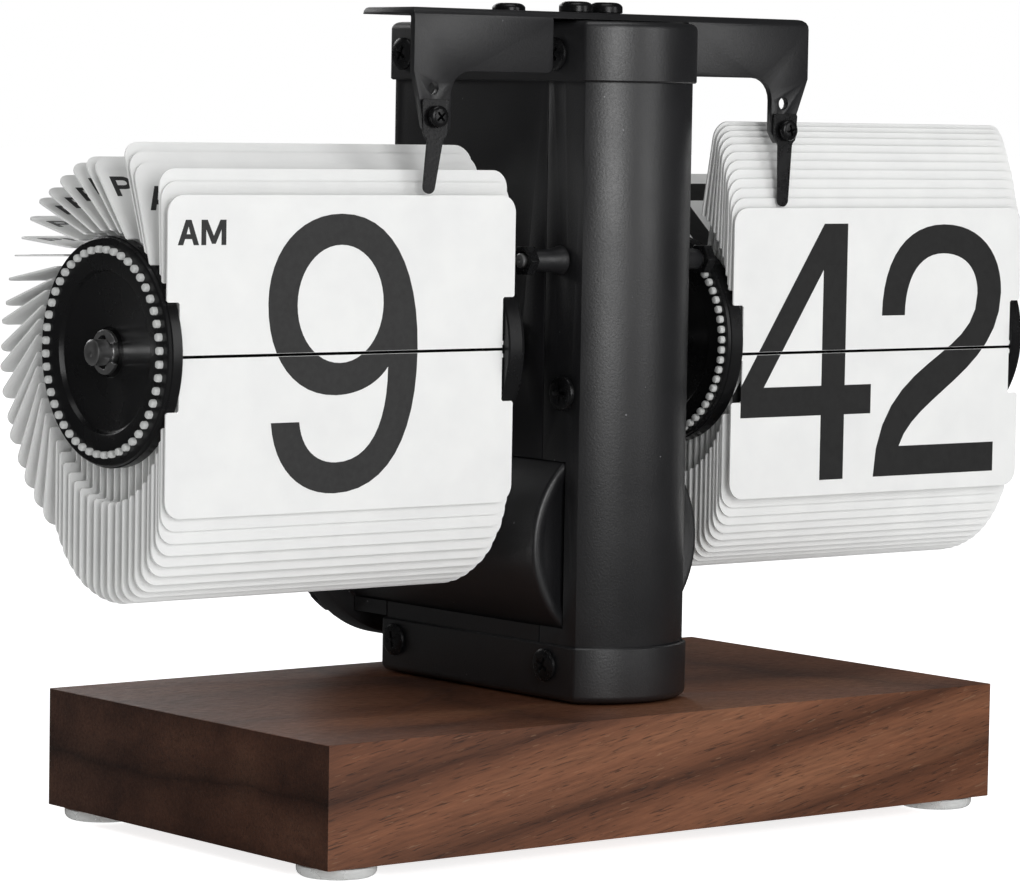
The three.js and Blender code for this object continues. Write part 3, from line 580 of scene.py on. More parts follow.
finish_node("base_block", WALNUT, 0.3)
finish_node("front_cover", COAT, 0.45)
finish_node("rear_housing", COAT, 0.3)
finish_node("claw_bracket", COAT, 0.28)
finish_node("battery_cell", SLEEVE, 0.3)
finish_node("battery_spring", STEEL)
finish_node("motor", STEEL, 0.3)
finish_node("motor_pinion", BRASS)
for node in ("minute_pinion", "hour_wheel", "transfer_arbor"):
    finish_node(node, GEAR)


# ---------------------------------------------------------------- column caps
COLUMN_LOW, COLUMN_HIGH = box_mm("rear_housing")
COVER_LOW, COVER_HIGH = box_mm("front_cover")
HALF_WIDTH = COVER_HIGH.x
BOW = 5.2
BOW_RADIUS = (HALF_WIDTH**2 + BOW**2) / (2 * BOW)
BOW_Y = COVER_LOW.y + BOW_RADIUS
CAP_LOW, CAP_HIGH = box_mm("top_cap")
FOOT_CAP_LOW = box_mm("bottom_cap")[0]
CAP_GROW = CAP_HIGH.x - HALF_WIDTH
CAP_ROUNDING = 1.3
BAND_HEIGHT = 9.8                              # the bottom cap's band, up from its foot
TUBE_R = 18.9
SEAM_Y = COLUMN_LOW.y - 0.15                   # where the front cover meets the housing
COLUMN_REAR = CAP_HIGH.y - 1.3


def cap_plan(shrink, z, rear):
    """The cap's plan, pulled in by shrink: a bowed front, straight sides, small rear corners."""
    half_width = HALF_WIDTH + CAP_GROW - shrink
    radius = BOW_RADIUS + CAP_GROW - shrink
    corner = 1.2
    crease_x, reach = half_width - corner, radius - corner
    crease_y = BOW_Y - math.sqrt(reach**2 - crease_x**2)
    half = math.degrees(math.asin(crease_x / reach))
    points = arc(-crease_x, crease_y, corner, 180, 270 - half, 4)
    points += arc(0, BOW_Y, radius, 270 - half, 270 + half, 28)[1:-1]
    points += arc(crease_x, crease_y, corner, 270 + half, 360, 4)
    points += arc(half_width - corner, rear - shrink - corner, corner, 0, 90, 4)
    points += arc(-half_width + corner, rear - shrink - corner, corner, 90, 180, 4)
    return [(u, v, z) for u, v in points]


def cap_rings(end, mouth, rear, wall=0.6, plate=1.0):
    """A cup: rounded at its end, open at its mouth, from the outside of the end inwards."""
    way = 1 if mouth > end else -1
    rings = []
    for i in range(6):
        angle = math.radians(90 * i / 5)
        shrink, rise = CAP_ROUNDING * (1 - math.sin(angle)), CAP_ROUNDING * (1 - math.cos(angle))
        rings.append(cap_plan(shrink, end + way * rise, rear))
    lip = 0.25
    rings.append(cap_plan(0, mouth - way * lip, rear))
    rings.append(cap_plan(lip, mouth, rear))
    rings.append(cap_plan(wall, mouth, rear))
    rings.append(cap_plan(wall, end + way * plate, rear))
    return rings


def cradle_z(x):
    """Height of the cradle under the tube, at x from the middle."""
    return TUBE_Z - math.sqrt((TUBE_R + 0.3)**2 - x**2)


def make_caps():
    bm = bmesh.new()
    add_loft(bm, cap_rings(CAP_HIGH.z, CAP_LOW.z, CAP_HIGH.y))
    piece("cap_top", bm, [COAT], "stand", ["top_cap"])
    bm = bmesh.new()
    band_top = FOOT_CAP_LOW.z + BAND_HEIGHT
    add_loft(bm, cap_rings(FOOT_CAP_LOW.z, band_top, CAP_HIGH.y))
    inner = HALF_WIDTH - 1.2
    for side in (-1, 1):
        wall = [(band_top - 1, side * inner), (band_top - 1, side * HALF_WIDTH),
                (cradle_z(HALF_WIDTH), side * HALF_WIDTH), (cradle_z(inner), side * inner)]
        add_prism(bm, [wall], on_y, SEAM_Y + 0.15, COLUMN_REAR)
        corner = [(band_top + 0.3, side * HALF_WIDTH)]
        corner += [(cradle_z(x), side * x) for x in (HALF_WIDTH, 11.2, 10.0, 8.8)]
        add_prism(bm, [corner], on_y, COLUMN_REAR + 0.4, COLUMN_HIGH.y)
    piece("cap_bottom", bm, [COAT], "stand", ["bottom_cap"])


make_caps()


# ---------------------------------------------------------------- screws
def screw_mesh(head_radius, head_height, shank, length):
    """A pan head with a cross recess; the head's underside is at z = 0."""
    bm = bmesh.new()
    dome = []
    for degrees in range(0, 91, 15):
        angle = math.radians(degrees)
        dome.append((head_height * (0.5 + 0.5 * math.sin(angle)),
                     head_radius * (0.5 + 0.5 * math.cos(angle))))
    edge = 0.12
    profile = [(-length, 0), (-length, shank), (0, shank), (0, head_radius - edge),
               (edge, head_radius), *dome, (head_height, 0)]
    add_lathe(bm, on_z, profile, steps=40)
    body = to_mesh("screw", bm)
    bm = bmesh.new()
    rings = []
    for depth, share in ((head_height * 0.28, 0.42), (head_height + 0.2, 1.0)):
        arm, half = head_radius * 0.62 * share, head_radius * 0.115 * (0.75 + 0.25 * share)
        cross = [(arm, -half), (arm, half), (half, half), (half, arm), (-half, arm), (-half, half),
                 (-arm, half), (-arm, -half), (-half, -half), (-half, -arm), (half, -arm),
                 (half, -half)]
        rings.append([(u, v, depth) for u, v in cross])
    add_loft(bm, rings)
    return cut(body, [to_mesh("recess", bm)])


# Head radius, head height, shank radius and shank length of each kind.
SCREW_SIZES = {"side": (2.95, 0.9, 1.3, 3.6), "top": (3.0, 1.9, 1.4, 5.4),
               "claw": (1.9, 1.3, 0.95, 2.4), "panel": (3.1, 1.3, 1.3, 3.6),
               "base": (3.6, 2.2, 1.4, 18.4)}
SCREWS = {kind: screw_mesh(*sizes) for kind, sizes in SCREW_SIZES.items()}


def place_screw(node, kind, outward, material=BLACK_STEEL):
    """Sets a screw where its CAD node is, head outwards, turned to a random angle."""
    low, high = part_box(node)
    way = Vector(outward)
    tip = (low + high) / 2
    for i in range(3):
        if way[i]:
            tip[i] = high[i] if way[i] > 0 else low[i]
    turn = Matrix.Rotation(random.uniform(0, TAU / 4), 4, "Z")
    aim = way.to_track_quat("Z", "Y").to_matrix().to_4x4()
    mesh = SCREWS[kind].copy()
    mesh.transform(Matrix.Translation(tip - way * SCREW_SIZES[kind][1] * MM) @ aim @ turn)
    piece(node + "_head", mesh, [material], "stand", [node], smooth=28)


for side, sign in (("left", -1), ("right", 1)):
    for cap in ("top_cap", "bottom_cap"):
        for end in ("front", "rear"):
            place_screw(f"{cap}_screw_{end}_{side}", "side", (sign, 0, 0))
    place_screw(f"panel_screw_{side}", "panel", (sign, 0, 0))
for end in ("left", "right", "rear"):
    place_screw(f"bracket_screw_{end}", "top", (0, 0, 1))
for drum in ("hour", "minute"):
    place_screw(f"{drum}_claw_screw", "claw", (0, -1, 0))
for end in ("front", "rear"):
    place_screw(f"base_screw_{end}", "base", (0, 0, -1), STEEL)


# ---------------------------------------------------------------- feet, claws, posts, bushes
def make_feet():
    lip = 1.2                                  # rounding of the sole's edge
    for end in ("front", "rear"):
        for side in ("left", "right"):
            node = f"foot_{end}_{side}"
            low, high = box_mm(node)
            x, y = (low.x + high.x) / 2, (low.y + high.y) / 2
            radius = (high.x - low.x) / 2
            profile = [(0, 0), (0, radius - 1.9), (0.1, radius - lip)]
            profile += [(1.3 - along, radius - lip + out) for out, along in arc(0, 0, lip, 90, 0, 5)]
            profile += [(high.z - 0.15, radius), (high.z, radius - 0.1), (high.z, 0)]
            bm = bmesh.new()
            add_lathe(bm, on_z, profile, x, y, 48)
            piece(f"bumper_{end}_{side}", bm, [SILICONE], "stand",
                  [node], smooth=50)


CLAW_SHOULDER = 121.9
CLAW_LEAN = {"hour": 1.1, "minute": 0.25}      # how far each tip is bent to its left


def make_claws():
    tip_half, neck, head = 1.25, 1.65, 2.8
    for drum in ("hour", "minute"):
        low, high = box_mm(f"{drum}_claw")
        screw_z = centre_mm(f"{drum}_claw_screw").z
        x = (low.x + high.x) / 2
        right = [(high.z, head - 0.5), (high.z - 0.15, head - 0.15), (high.z - 0.5, head),
                 (CLAW_SHOULDER + 0.9, head * 0.92), (CLAW_SHOULDER + 0.2, head * 0.84),
                 (CLAW_SHOULDER - 0.2, neck + 0.25), (CLAW_SHOULDER - 0.7, neck)]
        tip = [(z, u - CLAW_LEAN[drum]) for z, u in arc(low.z + tip_half, 0, tip_half, 90, 270, 12)]
        outline = right + tip + [(z, -u) for z, u in reversed(right)]
        hole = arc(screw_z, 0, 1.2, 0, 345, 23)
        bm = bmesh.new()
        loops = [[(z, x + u) for z, u in loop] for loop in (outline, hole)]
        add_prism(bm, loops, on_y, low.y, high.y)
        piece(f"{drum}_claw_blade", bm, [BLACK_STEEL], "stand",
              [f"{drum}_claw"], bevel=0.08)


CONE = [(12.6, 0), (12.6, 2.6), (12.9, 2.6), (13.4, 2.35), (15.5, 2.0), (18.8, 1.8), (19.1, 1.65),
        (19.1, 0)]
STUD = [(18.5, 0), (18.5, 1.3), (21.5, 1.3), (21.7, 1.1), (21.7, 0.3), (21.5, 0)]
NUT_RADIUS, NUT_BORE, NUT_START, NUT_END = 2.8, 1.65, 19.4, 21.2
BUSH = [(9.6, 2.35), (9.6, 3.6), (12.6, 3.6), (12.6, 4.8), (12.8, 5.0), (13.6, 5.0), (13.8, 4.8),
        (13.8, 3.9), (14.4, 3.6), (22.7, 3.6), (23.0, 3.3), (23.0, 2.35), (9.6, 2.35)]


def make_posts():
    for side, sign in (("left", -1), ("right", 1)):
        low, high = box_mm(f"stop_post_{side}")
        y, z = (low.y + high.y) / 2, (low.z + high.z) / 2
        bm = bmesh.new()
        add_lathe(bm, on_x, [(sign * a, r) for a, r in CONE], y, z, 36, 0)
        add_lathe(bm, on_x, [(sign * a, r) for a, r in STUD], y, z, 36, 1)
        piece(f"post_{side}", bm, [COAT, STEEL], "stand",
              [f"stop_post_{side}"])
        bm = bmesh.new()
        loops = [arc(y, z, NUT_RADIUS, 0, 300, 5), arc(y, z, NUT_BORE, 0, 345, 23)]
        add_prism(bm, loops, on_x, sign * NUT_START, sign * NUT_END)
        piece(f"post_nut_{side}", bm, [BLACK_STEEL], "stand",
              [f"stop_nut_{side}"], bevel=0.15)


def make_bushes():
    for side, sign in (("left", -1), ("right", 1)):
        bm = bmesh.new()
        add_lathe(bm, on_x, [(sign * a, r) for a, r in BUSH], AXIS_Y, AXIS_Z, 56)
        piece(f"bush_{side}", bm, [BLACK_STEEL], "stand",
              [f"shaft_bush_{side}"])


make_feet()
make_claws()
make_posts()
make_bushes()


# ---------------------------------------------------------------- battery holder
def make_tube():
    front, rear = TUBE_LOW.y, TUBE_HIGH.y
    flange, bore, rim = rear - 5.7, 17.5, 0.9
    outer = TUBE_HIGH.x                        # radius of the flange
    rounded = [(front + rim - v, TUBE_R - rim + u) for u, v in arc(0, 0, rim, 90, 0, 8)]
    profile = [(front + 0.9, 0), (front + 0.75, TUBE_R - 3.4), (front + 0.3, TUBE_R - 2.2),
               (front + 0.05, TUBE_R - 1.5), *rounded, (flange - 0.4, TUBE_R), (flange, TUBE_R + 0.4),
               (flange, outer - 1.3), (flange + 0.4, outer - 0.4), (flange + 1.3, outer),
               (rear - 0.3, outer), (rear, outer - 0.3), (rear, bore), (front + 1.8, bore),
               (front + 1.8, 0)]
    bm = bmesh.new()
    add_lathe(bm, on_y, profile, TUBE_Z, 0, 96)
    piece("tube_shell", bm, [COAT], "stand", ["battery_tube"],
          smooth=40)


def make_battery_cap():
    """The screwed cap, with a coin slot across its face and a ring of finger grips."""
    low, high = box_mm("battery_cap")
    radius, front, rear = high.x, low.y, high.y
    profile = [(front, 0), (front, radius - 0.2), (front + 0.2, radius), (rear - 1.2, radius),
               (rear - 0.35, radius - 0.35), (rear, radius - 1.2), (rear, radius - 3.6),
               (rear - 0.5, radius - 4.0), (rear - 0.5, radius - 4.8), (rear, radius - 5.2), (rear, 0)]
    bm = bmesh.new()
    add_lathe(bm, on_y, profile, TUBE_Z, 0, 96)
    cap = to_mesh("cap", bm)
    bm = bmesh.new()
    coin = rounded_box(1.5, 11.0, 1.4, 5)
    add_prism(bm, [[(TUBE_Z + u, v) for u, v in coin]], on_y, rear - 2, rear + 1)
    cutters = [to_mesh("coin_slot", bm)]
    grips, reach = 24, radius + 0.9
    for i in range(grips):
        angle = TAU * i / grips
        u, v = TUBE_Z + reach * math.cos(angle), reach * math.sin(angle)
        bm = bmesh.new()
        add_prism(bm, [arc(u, v, 1.5, 0, 330, 11)], on_y, front + 1.4, rear + 1)
        cutters.append(to_mesh("grip", bm))
    piece("battery_door_cap", cut(cap, cutters), [PLASTIC], "battery_door",
          ["battery_cap"])


make_tube()
make_battery_cap()


# ---------------------------------------------------------------- printed numbers
# An outline is a list of rows in millimetres around the digit's centre: (u, v) is the next corner,
# and six numbers are a curve's two control points and its end.
def oval(cx, cy, rx, ry, pull=0.6):
    """A closed loop of four curves; pull is how square its shoulders are."""
    kx, ky = rx * pull, ry * pull
    return [(cx, cy + ry), (cx + kx, cy + ry, cx + rx, cy + ky, cx + rx, cy),
            (cx + rx, cy - ky, cx + kx, cy - ry, cx, cy - ry),
            (cx - kx, cy - ry, cx - rx, cy - ky, cx - rx, cy),
            (cx - rx, cy + ky, cx - kx, cy + ry, cx, cy + ry)]


NINE = [[(-14.7, -11.3), (-14.0, -19, -8.8, -23.5, -1.5, -23.5), (9.4, -23.5, 15.7, -14.8, 15.7, 0.4),
         (15.7, 14.9, 9.6, 23.4, -0.6, 23.4), (-9.4, 23.4, -15.5, 17.2, -15.5, 8.6),
         (-15.5, -0.8, -9.9, -7, -1.4, -7), (3.4, -7, 7.4, -5.2, 9.5, -2.4),
         (9.5, -12.4, 5.8, -18.3, -1.2, -18.3), (-5.4, -18.3, -8.4, -15.8, -8.9, -11.3)],
        oval(-0.6, 8.3, 8.95, 9.9, 0.56)]
SIX = [[tuple(-value for value in row) for row in loop] for loop in NINE]
DIGITS = {
    "0": [oval(0, 0, 15.6, 23.5),
          oval(0, 0, 9.7, 18.2, 0.62)],
    "1": [[(-0.4, -23.5), (5.5, -23.5), (5.5, 23.5), (1.2, 23.5),
           (0.4, 18.8, -3.6, 16.4, -10.0, 16.2), (-10.0, 11.9), (-0.4, 11.9)]],
    "2": [[(-14.8, 6.4), (-14.8, 17.5, -8.6, 23.2, 0.6, 23.2), (9.8, 23.2, 15.9, 18.0, 15.9, 10.3),
           (15.9, -4.5, -6.3, -8.5, -9.8, -17.9), (14.7, -17.9), (14.7, -23.4), (-16.2, -23.4),
           (-15.6, -0.5, 9.7, -3.0, 9.7, 10.2), (9.7, 14.9, 6.2, 17.8, 0.5, 17.8),
           (-5.2, 17.8, -9.0, 13.9, -9.0, 6.4)]],
    "3": [[(-14.2, 8.6), (-14, 17.9, -8, 23.4, 0, 23.4), (8.6, 23.4, 14.4, 18.4, 14.4, 11.2),
           (14.4, 6.2, 11.6, 2.8, 7.4, 1.4), (12.6, 0, 15.7, -4.2, 15.7, -9.6),
           (15.7, -18, 9.6, -23.5, 0, -23.5), (-9.4, -23.5, -15.4, -17.6, -15.6, -8.2), (-9.6, -8.2),
           (-9.4, -14.6, -5.8, -18.2, 0, -18.2), (6, -18.2, 9.6, -15, 9.6, -9.6),
           (9.6, -4.2, 5.8, -1.4, -0.8, -1.4), (-3.4, -1.4), (-3.4, 3.6), (-1, 3.6),
           (5, 3.6, 8.4, 6.2, 8.4, 11), (8.4, 15.4, 5, 18.2, 0, 18.2),
           (-5, 18.2, -8.2, 14.8, -8.4, 8.6)]],
    "4": [[(3.6, 23.4), (9.4, 23.4), (9.4, -6.2), (16, -6.2), (16, -11.6), (9.4, -11.6), (9.4, -23.5),
           (3.6, -23.5), (3.6, -11.6), (-16, -11.6), (-16, -6.0)],
          [(3.6, 15), (3.6, -6.2), (-10.5, -6.2)]],
    "5": [[(-12.4, 23), (13, 23), (13, 17.6), (-7.6, 17.6), (-9.4, 4.4), (-6.8, 6.8, -3.4, 8, 0.6, 8),
           (9.6, 8, 15.7, 1.8, 15.7, -7.4), (15.7, -17, 9.2, -23.5, -0.4, -23.5),
           (-9, -23.5, -15, -18.6, -15.6, -10.6), (-9.6, -10.6),
           (-9, -15.4, -5.6, -18.2, -0.4, -18.2), (5.8, -18.2, 9.7, -14, 9.7, -7.4),
           (9.7, -1.2, 6, 2.7, 0, 2.7), (-4.2, 2.7, -7.4, 1, -9.4, -2), (-15, -1.6)]],
    "6": SIX,
    "7": [[(-15.2, 23), (15.4, 23), (15.4, 18), (6, 8.4, -1.2, -7, -2.6, -23.5), (-8.8, -23.5),
           (-7.4, -8, -0.4, 7, 9.2, 17.5), (-15.2, 17.5)]],
    "8": [[(0, 23.4), (8.6, 23.4, 14.2, 18.6, 14.2, 11.6), (14.2, 7, 11.6, 3.4, 7.4, 1.6),
           (12.6, 0, 15.7, -4.4, 15.7, -9.8), (15.7, -18, 9.6, -23.5, 0, -23.5),
           (-9.6, -23.5, -15.7, -18, -15.7, -9.8), (-15.7, -4.4, -12.6, 0, -7.4, 1.6),
           (-11.6, 3.4, -14.2, 7, -14.2, 11.6), (-14.2, 18.6, -8.6, 23.4, 0, 23.4)],
          oval(0, 11.0, 8.3, 7.3),
          oval(0, -9.9, 9.7, 8.4)],
    "9": NINE,
}
# Small capitals, around the lower left corner of each letter.
LETTERS = {
    "A": [[(0, 0), (1.05, 0), (1.42, 1.0), (2.78, 1.0), (3.15, 0), (4.2, 0), (2.65, 4.15),
           (1.55, 4.15)],
          [(1.72, 1.8), (2.48, 1.8), (2.1, 3.1)]],
    "M": [[(0, 0), (0.95, 0), (0.95, 2.6), (2.1, 0.2), (2.85, 0.2), (4.0, 2.6), (4.0, 0), (4.95, 0),
           (4.95, 4.15), (3.75, 4.15), (2.48, 1.5), (1.2, 4.15), (0, 4.15)]],
    "P": [[(0, 0), (0.95, 0), (0.95, 1.5), (2.2, 1.5), (3.3, 1.5, 3.9, 2.05, 3.9, 2.85),
           (3.9, 3.65, 3.3, 4.15, 2.2, 4.15), (0, 4.15)],
          [(0.95, 2.3), (2.1, 2.3), (2.65, 2.3, 2.95, 2.5, 2.95, 2.83),
           (2.95, 3.2, 2.65, 3.36, 2.1, 3.36), (0.95, 3.36)]],
}
HOUR_U, TENS_U, ONES_U = -0.45, -17.9, 15.3
DAYPART_U, DAYPART_V = -34.2, 18.3


def flatten(path, du, dv, steps=12):
    """A path's points, moved by (du, dv), with its curves as short lines."""
    points = []
    for *controls, u, v in path:
        end = Vector((u + du, v + dv))
        if controls:
            a = Vector(points[-1])
            b = Vector((controls[0] + du, controls[1] + dv))
            c = Vector((controls[2] + du, controls[3] + dv))
            for i in range(1, steps + 1):
                t = i / steps
                s = 1 - t
                points.append(tuple(a * s**3 + b * 3 * t * s**2 + c * 3 * t * t * s + end * t**3))
        else:
            points.append((u + du, v + dv))
    if (Vector(points[0]) - Vector(points[-1])).length < 1e-6:
        points.pop()
    return points


def hour_glyphs(number):
    text = str(number)
    if len(text) == 1:
        return [(DIGITS[text], HOUR_U, 0.0)]
    return minute_glyphs(number)


def minute_glyphs(number):
    tens, ones = f"{number:02d}"
    return [(DIGITS[tens], TENS_U, 0.0), (DIGITS[ones], ONES_U, 0.0)]


def daypart_glyphs(letter):
    return [(LETTERS[letter], DAYPART_U, DAYPART_V), (LETTERS["M"], DAYPART_U + 4.65, DAYPART_V)]


def flat_print(glyphs, keep, edge):
    """Flat (vertices, faces) of the glyphs above (keep 1) or below (keep -1) the split's edge."""
    bm = bmesh.new()
    for paths, du, dv in glyphs:
        loops = [flatten(path, du, dv) for path in paths]
        points = [bm.verts.new((u, v, 0)) for loop in loops for u, v in loop]
        for a, b, c in tessellate_polygon([[Vector((u, v, 0)) for u, v in loop] for loop in loops]):
            bm.faces.new((points[a], points[b], points[c]))
    geometry = bm.verts[:] + bm.edges[:] + bm.faces[:]
    bmesh.ops.bisect_plane(bm, geom=geometry, dist=1e-5, plane_co=(0, keep * edge, 0),
                           plane_no=(0, keep, 0), clear_inner=True)
    bmesh.ops.dissolve_limit(bm, angle_limit=0.001, verts=bm.verts[:], edges=bm.edges[:])
    bm.verts.index_update()
    flat = ([tuple(v.co.xy) for v in bm.verts], [[v.index for v in f.verts] for f in bm.faces])
    bm.free()
    return flat


def add_print(bm, flat, place, start, end, material):
    """Draws a flat print out into a thin closed layer."""
    verts, faces = flat
    near = [bm.verts.new(place(u, v, start)) for u, v in verts]
    far = [bm.verts.new(place(u, v, end)) for u, v in verts]
    edges = {}
    for face in faces:
        bm.faces.new([near[i] for i in face]).material_index = material
        bm.faces.new([far[i] for i in reversed(face)]).material_index = material
        for a, b in zip(face, face[1:] + face[:1]):
            edges[frozenset((a, b))] = None if frozenset((a, b)) in edges else (a, b)
    for pair in edges.values():
        if pair:
            a, b = pair
            bm.faces.new((near[a], near[b], far[b], far[a])).material_index = material


# ---------------------------------------------------------------- flaps
RING = 16.7                                    # radius of the ring of flap pins
TIP, CORNER, SHEET_T = 25.4, 3.0, 0.3          # a sheet's reach from its pin, corner and thickness
NOTCH, NOTCH_RISE = 2.5, 7.9                   # the notch that clears a disc
PIN_HALF = 0.35
HALF_SPLIT = 0.25                              # half the gap between an upper and a lower flap
INK_SINK, INK_RISE = 0.02, 0.03                # how deep the ink starts and how proud it stands
LOOSE_SHIFT = 0.08                             # most that a sheet sits to one side
LOOSE_TILT = {"held": 0.1, "free": 1.6}        # most that a sheet leans out of line, in degrees
FLAP_HALF = (FLAP_HIGH.x - FLAP_LOW.x) / 2


class Drum:
    """One drum of flaps; flap 0 shows above the split, and k counts backwards round the drum."""

    def __init__(self, name, side, count, first, upright, leaning, ink):
        self.name, self.side, self.count, self.first = name, side, count, first
        self.upright, self.leaning, self.ink = upright, leaning, ink
        self.centre = side * -(FLAP_LOW.x + FLAP_HIGH.x) / 2
        self.front = centre_mm(f"{name}_falling_flap").y - AXIS_Y
        self.pitch = 360 / count
        self.rise = self.hinge(0)[1] - self.split      # from the split line up to the pin
        self.heel = HALF_SPLIT - self.rise

    @property
    def split(self):
        """Height of the split line over the drum's axis, midway between its two pins."""
        up, down = (math.radians(self.first - self.pitch * i) for i in (0, 1))
        return RING * (math.sin(up) + math.sin(down)) / 2

    def hinge(self, k):
        angle = math.radians(self.first + self.pitch * k)
        return -RING * math.cos(angle), RING * math.sin(angle)

    def tilt(self, k):
        angle = self.first + self.pitch * k
        if self.name == "minute" and k <= self.upright:
            top = self.front + 0.3 + 0.49 * k  # each sheet leans on the one in front
            return math.degrees(math.asin((top - self.hinge(k)[0]) / TIP))
        if self.name == "hour" and k <= self.leaning:
            return 2.5 if k <= self.upright else 18.2 + (k - self.upright - 1)
        return min(angle * 0.9 - 5.4, 180)

    def label(self, k):
        """(number, daypart letter or None) that the flap's front carries."""
        if self.name == "minute":
            return (42 + k) % 60, None
        hour = (9 + math.ceil(k / 2)) % 24
        return hour % 12 or 12, "A" if hour < 12 else "P"

    def glyphs(self, k, keep):
        number, letter = self.label(k)
        if self.name == "minute":
            return minute_glyphs(number)
        return hour_glyphs(number) + (daypart_glyphs(letter) if keep > 0 else [])


HOUR = Drum("hour", -1, 48, 3.75, 2, 5, HOUR_INK)
MINUTE = Drum("minute", 1, 60, -3.8, 11, 11, MINUTE_INK)
prints = {}


def print_of(drum, k, keep):
    """The flat print of one half of flap k's number, made once for each number."""
    key = (drum.name, *drum.label(k), keep)
    if key not in prints:
        prints[key] = flat_print(drum.glyphs(k, keep), keep, HALF_SPLIT + 0.04)
    return prints[key]


def flap_outline(drum, k):
    """(u, s) outline of one sheet, s running up from its hinge; its pins reach for the discs."""
    half, body = FLAP_HALF, FLAP_HALF - NOTCH
    extra = 0.4 if drum.leaning < k < drum.count - 1 else 0
    rise = NOTCH_RISE + (0.9 if k == 1 else extra)
    pin = body + 0.2

    def flank(sign):
        rows = [(body, drum.heel), (body, -PIN_HALF), (pin, -PIN_HALF), (pin, PIN_HALF),
                (body, PIN_HALF), (body, rise - 0.3), (body + 0.3, rise), (half - 0.3, rise),
                (half, rise + 0.3)]
        rows += arc(half - CORNER, TIP - CORNER, CORNER, 0, 90, 7)
        return [(sign * u, s) for u, s in rows]

    return flank(1) + flank(-1)[::-1]


def add_flap(bm, drum, k, tilt, hinge, shift, back_print):
    """One sheet leaning by tilt at its hinge, printed in front and, where it can be seen, behind."""
    lean = math.radians(tilt)
    sine, cosine = math.sin(lean), math.cos(lean)

    def place(u, s, t):
        y = AXIS_Y + hinge[0] + sine * s - cosine * t
        z = AXIS_Z + hinge[1] + cosine * s + sine * t
        return Vector((drum.centre + shift + u, y, z))

    def front_place(u, v, t):
        return place(u, v - drum.rise, t)

    def back_place(u, v, t):
        return place(u, -v - drum.rise, t)

    half = SHEET_T / 2
    add_prism(bm, [flap_outline(drum, k)], place, -half, half)
    add_print(bm, print_of(drum, k, 1), front_place, half - INK_SINK, half + INK_RISE, 1)
    if back_print:
        add_print(bm, print_of(drum, k + 1, -1), back_place, INK_SINK - half, -half - INK_RISE, 1)


def make_flaps(drum):
    last = drum.count - 1
    groups = (("falling", [0], f"{drum.name}_flap", "falling_flap"),
              ("lower", [last], "stand", "lower_flap"),
              ("upper", range(1, drum.leaning + 1), "stand", "upper_flaps"),
              ("rear", range(drum.leaning + 1, last), "stand", "rear_flaps"))
    for name, indices, body, node in groups:
        bm = bmesh.new()
        for k in indices:
            shown = k in (0, last)
            hinge, tilt, shift = drum.hinge(k), drum.tilt(k), 0.0
            if shown:
                hinge, tilt = (drum.front, hinge[1]), 0 if k == 0 else 180
            else:
                free = drum.leaning < k and tilt < 175
                shift = random.uniform(-LOOSE_SHIFT, LOOSE_SHIFT)
                tilt += random.uniform(-1, 1) * LOOSE_TILT["free" if free else "held"]
            add_flap(bm, drum, k, tilt, hinge, shift, shown or k > last - 3)
        piece(f"{drum.name}_{name}_sheets", bm, [SHEET, drum.ink], body,
              [f"{drum.name}_{node}"], smooth=25)


make_flaps(HOUR)
make_flaps(MINUTE)


# ---------------------------------------------------------------- drums
PIN_RING = {"hour": 17.05, "minute": 17.5}
PIN_PROUD = 0.95
PIN_RINGS = ((-0.3, 0.0), (PIN_PROUD - 0.3, 0.0), (PIN_PROUD - 0.08, 0.12), (PIN_PROUD, 0.3))
BORE = 2.5


def add_pin_ends(bm, drum, face, outward):
    """The light ends of the flaps' pins, standing just proud of a disc's face."""
    for k in range(drum.count):
        angle = math.radians(drum.first + drum.pitch * k)
        radial = Vector((-math.cos(angle), math.sin(angle)))
        tangent = Vector((math.sin(angle), math.cos(angle)))
        loops = []
        for proud, inset in PIN_RINGS:
            x = drum.side * (face + outward * proud)
            spots = [radial * (PIN_RING[drum.name] + r) + tangent * t
                     for r, t in rounded_box(0.6 - inset, 0.66 - inset, 0.5 - inset)]
            loops.append([on_x(AXIS_Y + spot.x, AXIS_Z + spot.y, x) for spot in spots])
        add_loft(bm, loops, 1)


def reach_of(node):
    """The nearer and the further end of a node from the clock's middle."""
    low, high = box_mm(node)
    return sorted((abs(low.x), abs(high.x)))


def turned(drum, profile, steps=120):
    bm = bmesh.new()
    add_lathe(bm, on_x, [(drum.side * a, r) for a, r in profile], AXIS_Y, AXIS_Z, steps)
    return bm


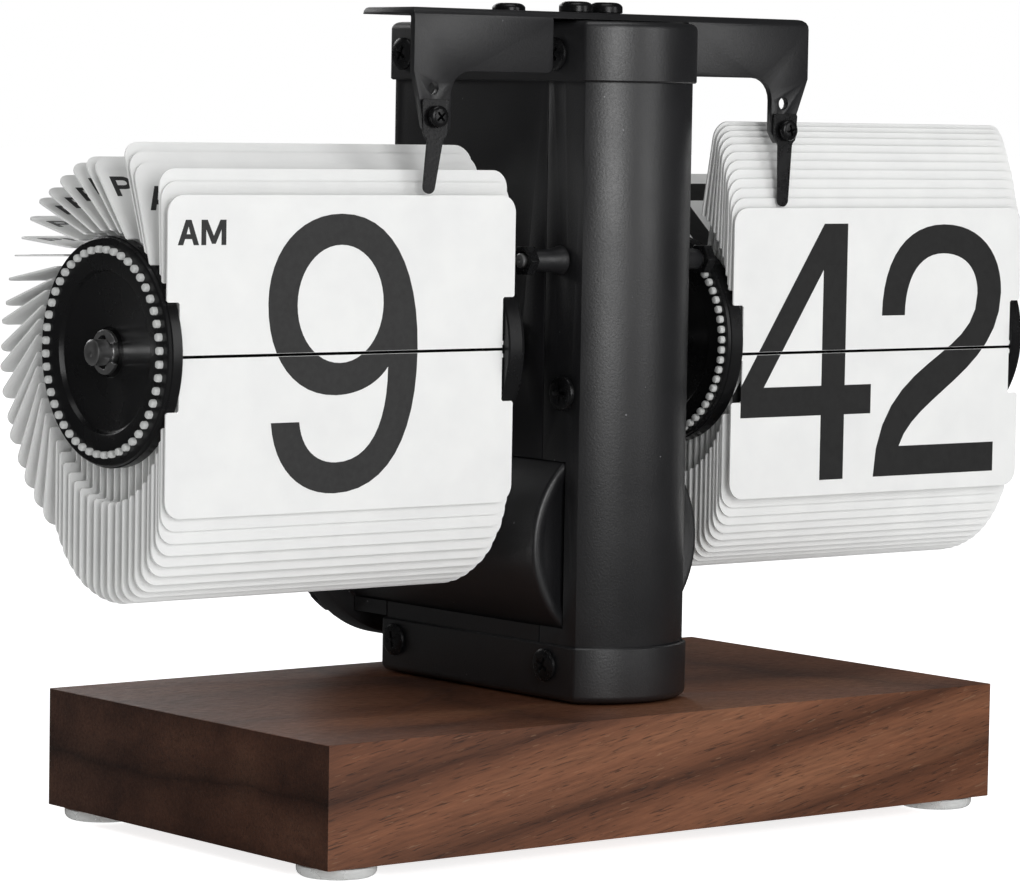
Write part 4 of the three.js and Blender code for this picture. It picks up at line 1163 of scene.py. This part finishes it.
def make_discs(drum):
    """Both dished discs, with the core on the inner one; pin ends show on the left disc's left."""
    body = f"{drum.name}_drum"
    low, high = box_mm(f"{drum.name}_outer_disc")
    rim = (high.z - low.z) / 2
    back, face = reach_of(f"{drum.name}_outer_disc")
    bm = turned(drum, [
        (back, BORE), (back, rim - 0.25), (back + 0.25, rim), (face - 0.9, rim),
        (face - 0.75, rim - 0.2), (face - 0.2, rim - 0.3), (face, rim - 0.5), (face, 13.9),
        (face - 0.12, 13.7), (face - 0.9, 13.35), (face - 1.1, 13.0), (face - 1.1, 4.5),
        (face - 1.2, 4.25), (face - 1.5, 4.15), (face - 1.5, BORE), (back, BORE)])
    if drum.side < 0:
        add_pin_ends(bm, drum, face, 1)
    piece(f"{drum.name}_disc_outer", bm, [PLASTIC, PIN], body,
          [f"{drum.name}_outer_disc"])

    face, end = reach_of(f"{drum.name}_inner_disc")
    back = face + 3.7
    bm = turned(drum, [
        (face, BORE), (face, 4.4), (face + 0.5, 4.7), (face + 0.5, 13.0), (face + 0.4, 13.3),
        (face, 13.6), (face, rim - 0.5), (face + 0.2, rim - 0.3), (face + 0.75, rim - 0.2),
        (face + 0.9, rim), (back - 0.25, rim), (back, rim - 0.25), (back, 8.6), (back + 0.6, 8.0),
        (end, 8.0), (end, 6.4), (back + 1, 6.4), (back + 1, BORE), (face, BORE)])
    if drum.side > 0:
        add_pin_ends(bm, drum, face, -1)
    piece(f"{drum.name}_disc_inner", bm, [PLASTIC, PIN], body,
          [f"{drum.name}_inner_disc"])


def make_shaft(drum):
    """The grooved shaft and the E-clip in its groove, open at the top."""
    body = f"{drum.name}_drum"
    start, end = reach_of(f"{drum.name}_shaft")
    neck = 0.9 if drum.name == "minute" else 2.1
    groove = abs(centre_mm(f"{drum.name}_clip").x)
    bm = turned(drum, [
        (start, 0), (start, neck), (8.6, neck), (8.9, 2.2), (groove - 0.45, 2.2), (groove - 0.4, 1.9),
        (groove + 0.4, 1.9), (groove + 0.45, 2.2), (end - 0.35, 2.2), (end - 0.1, 2.0), (end, 1.75),
        (end, 0.5), (end - 0.3, 0)], 48)
    piece(f"{drum.name}_axle", bm, [STEEL], body, [f"{drum.name}_shaft"])

    grip, hollow = 2.3, 2.85
    outline = arc(0, 0, 3.75, 210, 510, 36)
    outline += arc(0, 0, grip, 500, 465, 4) + arc(0, 0, hollow, 455, 400, 6)
    outline += arc(0, 0, grip, 390, 330, 6) + arc(0, 0, hollow, 320, 265, 6)
    outline += arc(0, 0, grip, 255, 220, 4)
    clip = [(AXIS_Y - drum.side * u, AXIS_Z + v) for u, v in outline]
    bm = bmesh.new()
    add_prism(bm, [clip], on_x, drum.side * (groove - 0.35), drum.side * (groove + 0.35))
    piece(f"{drum.name}_e_clip", bm, [STEEL], body, [f"{drum.name}_clip"],
          bevel=0.08)


for drum in (HOUR, MINUTE):
    make_discs(drum)
    make_shaft(drum)
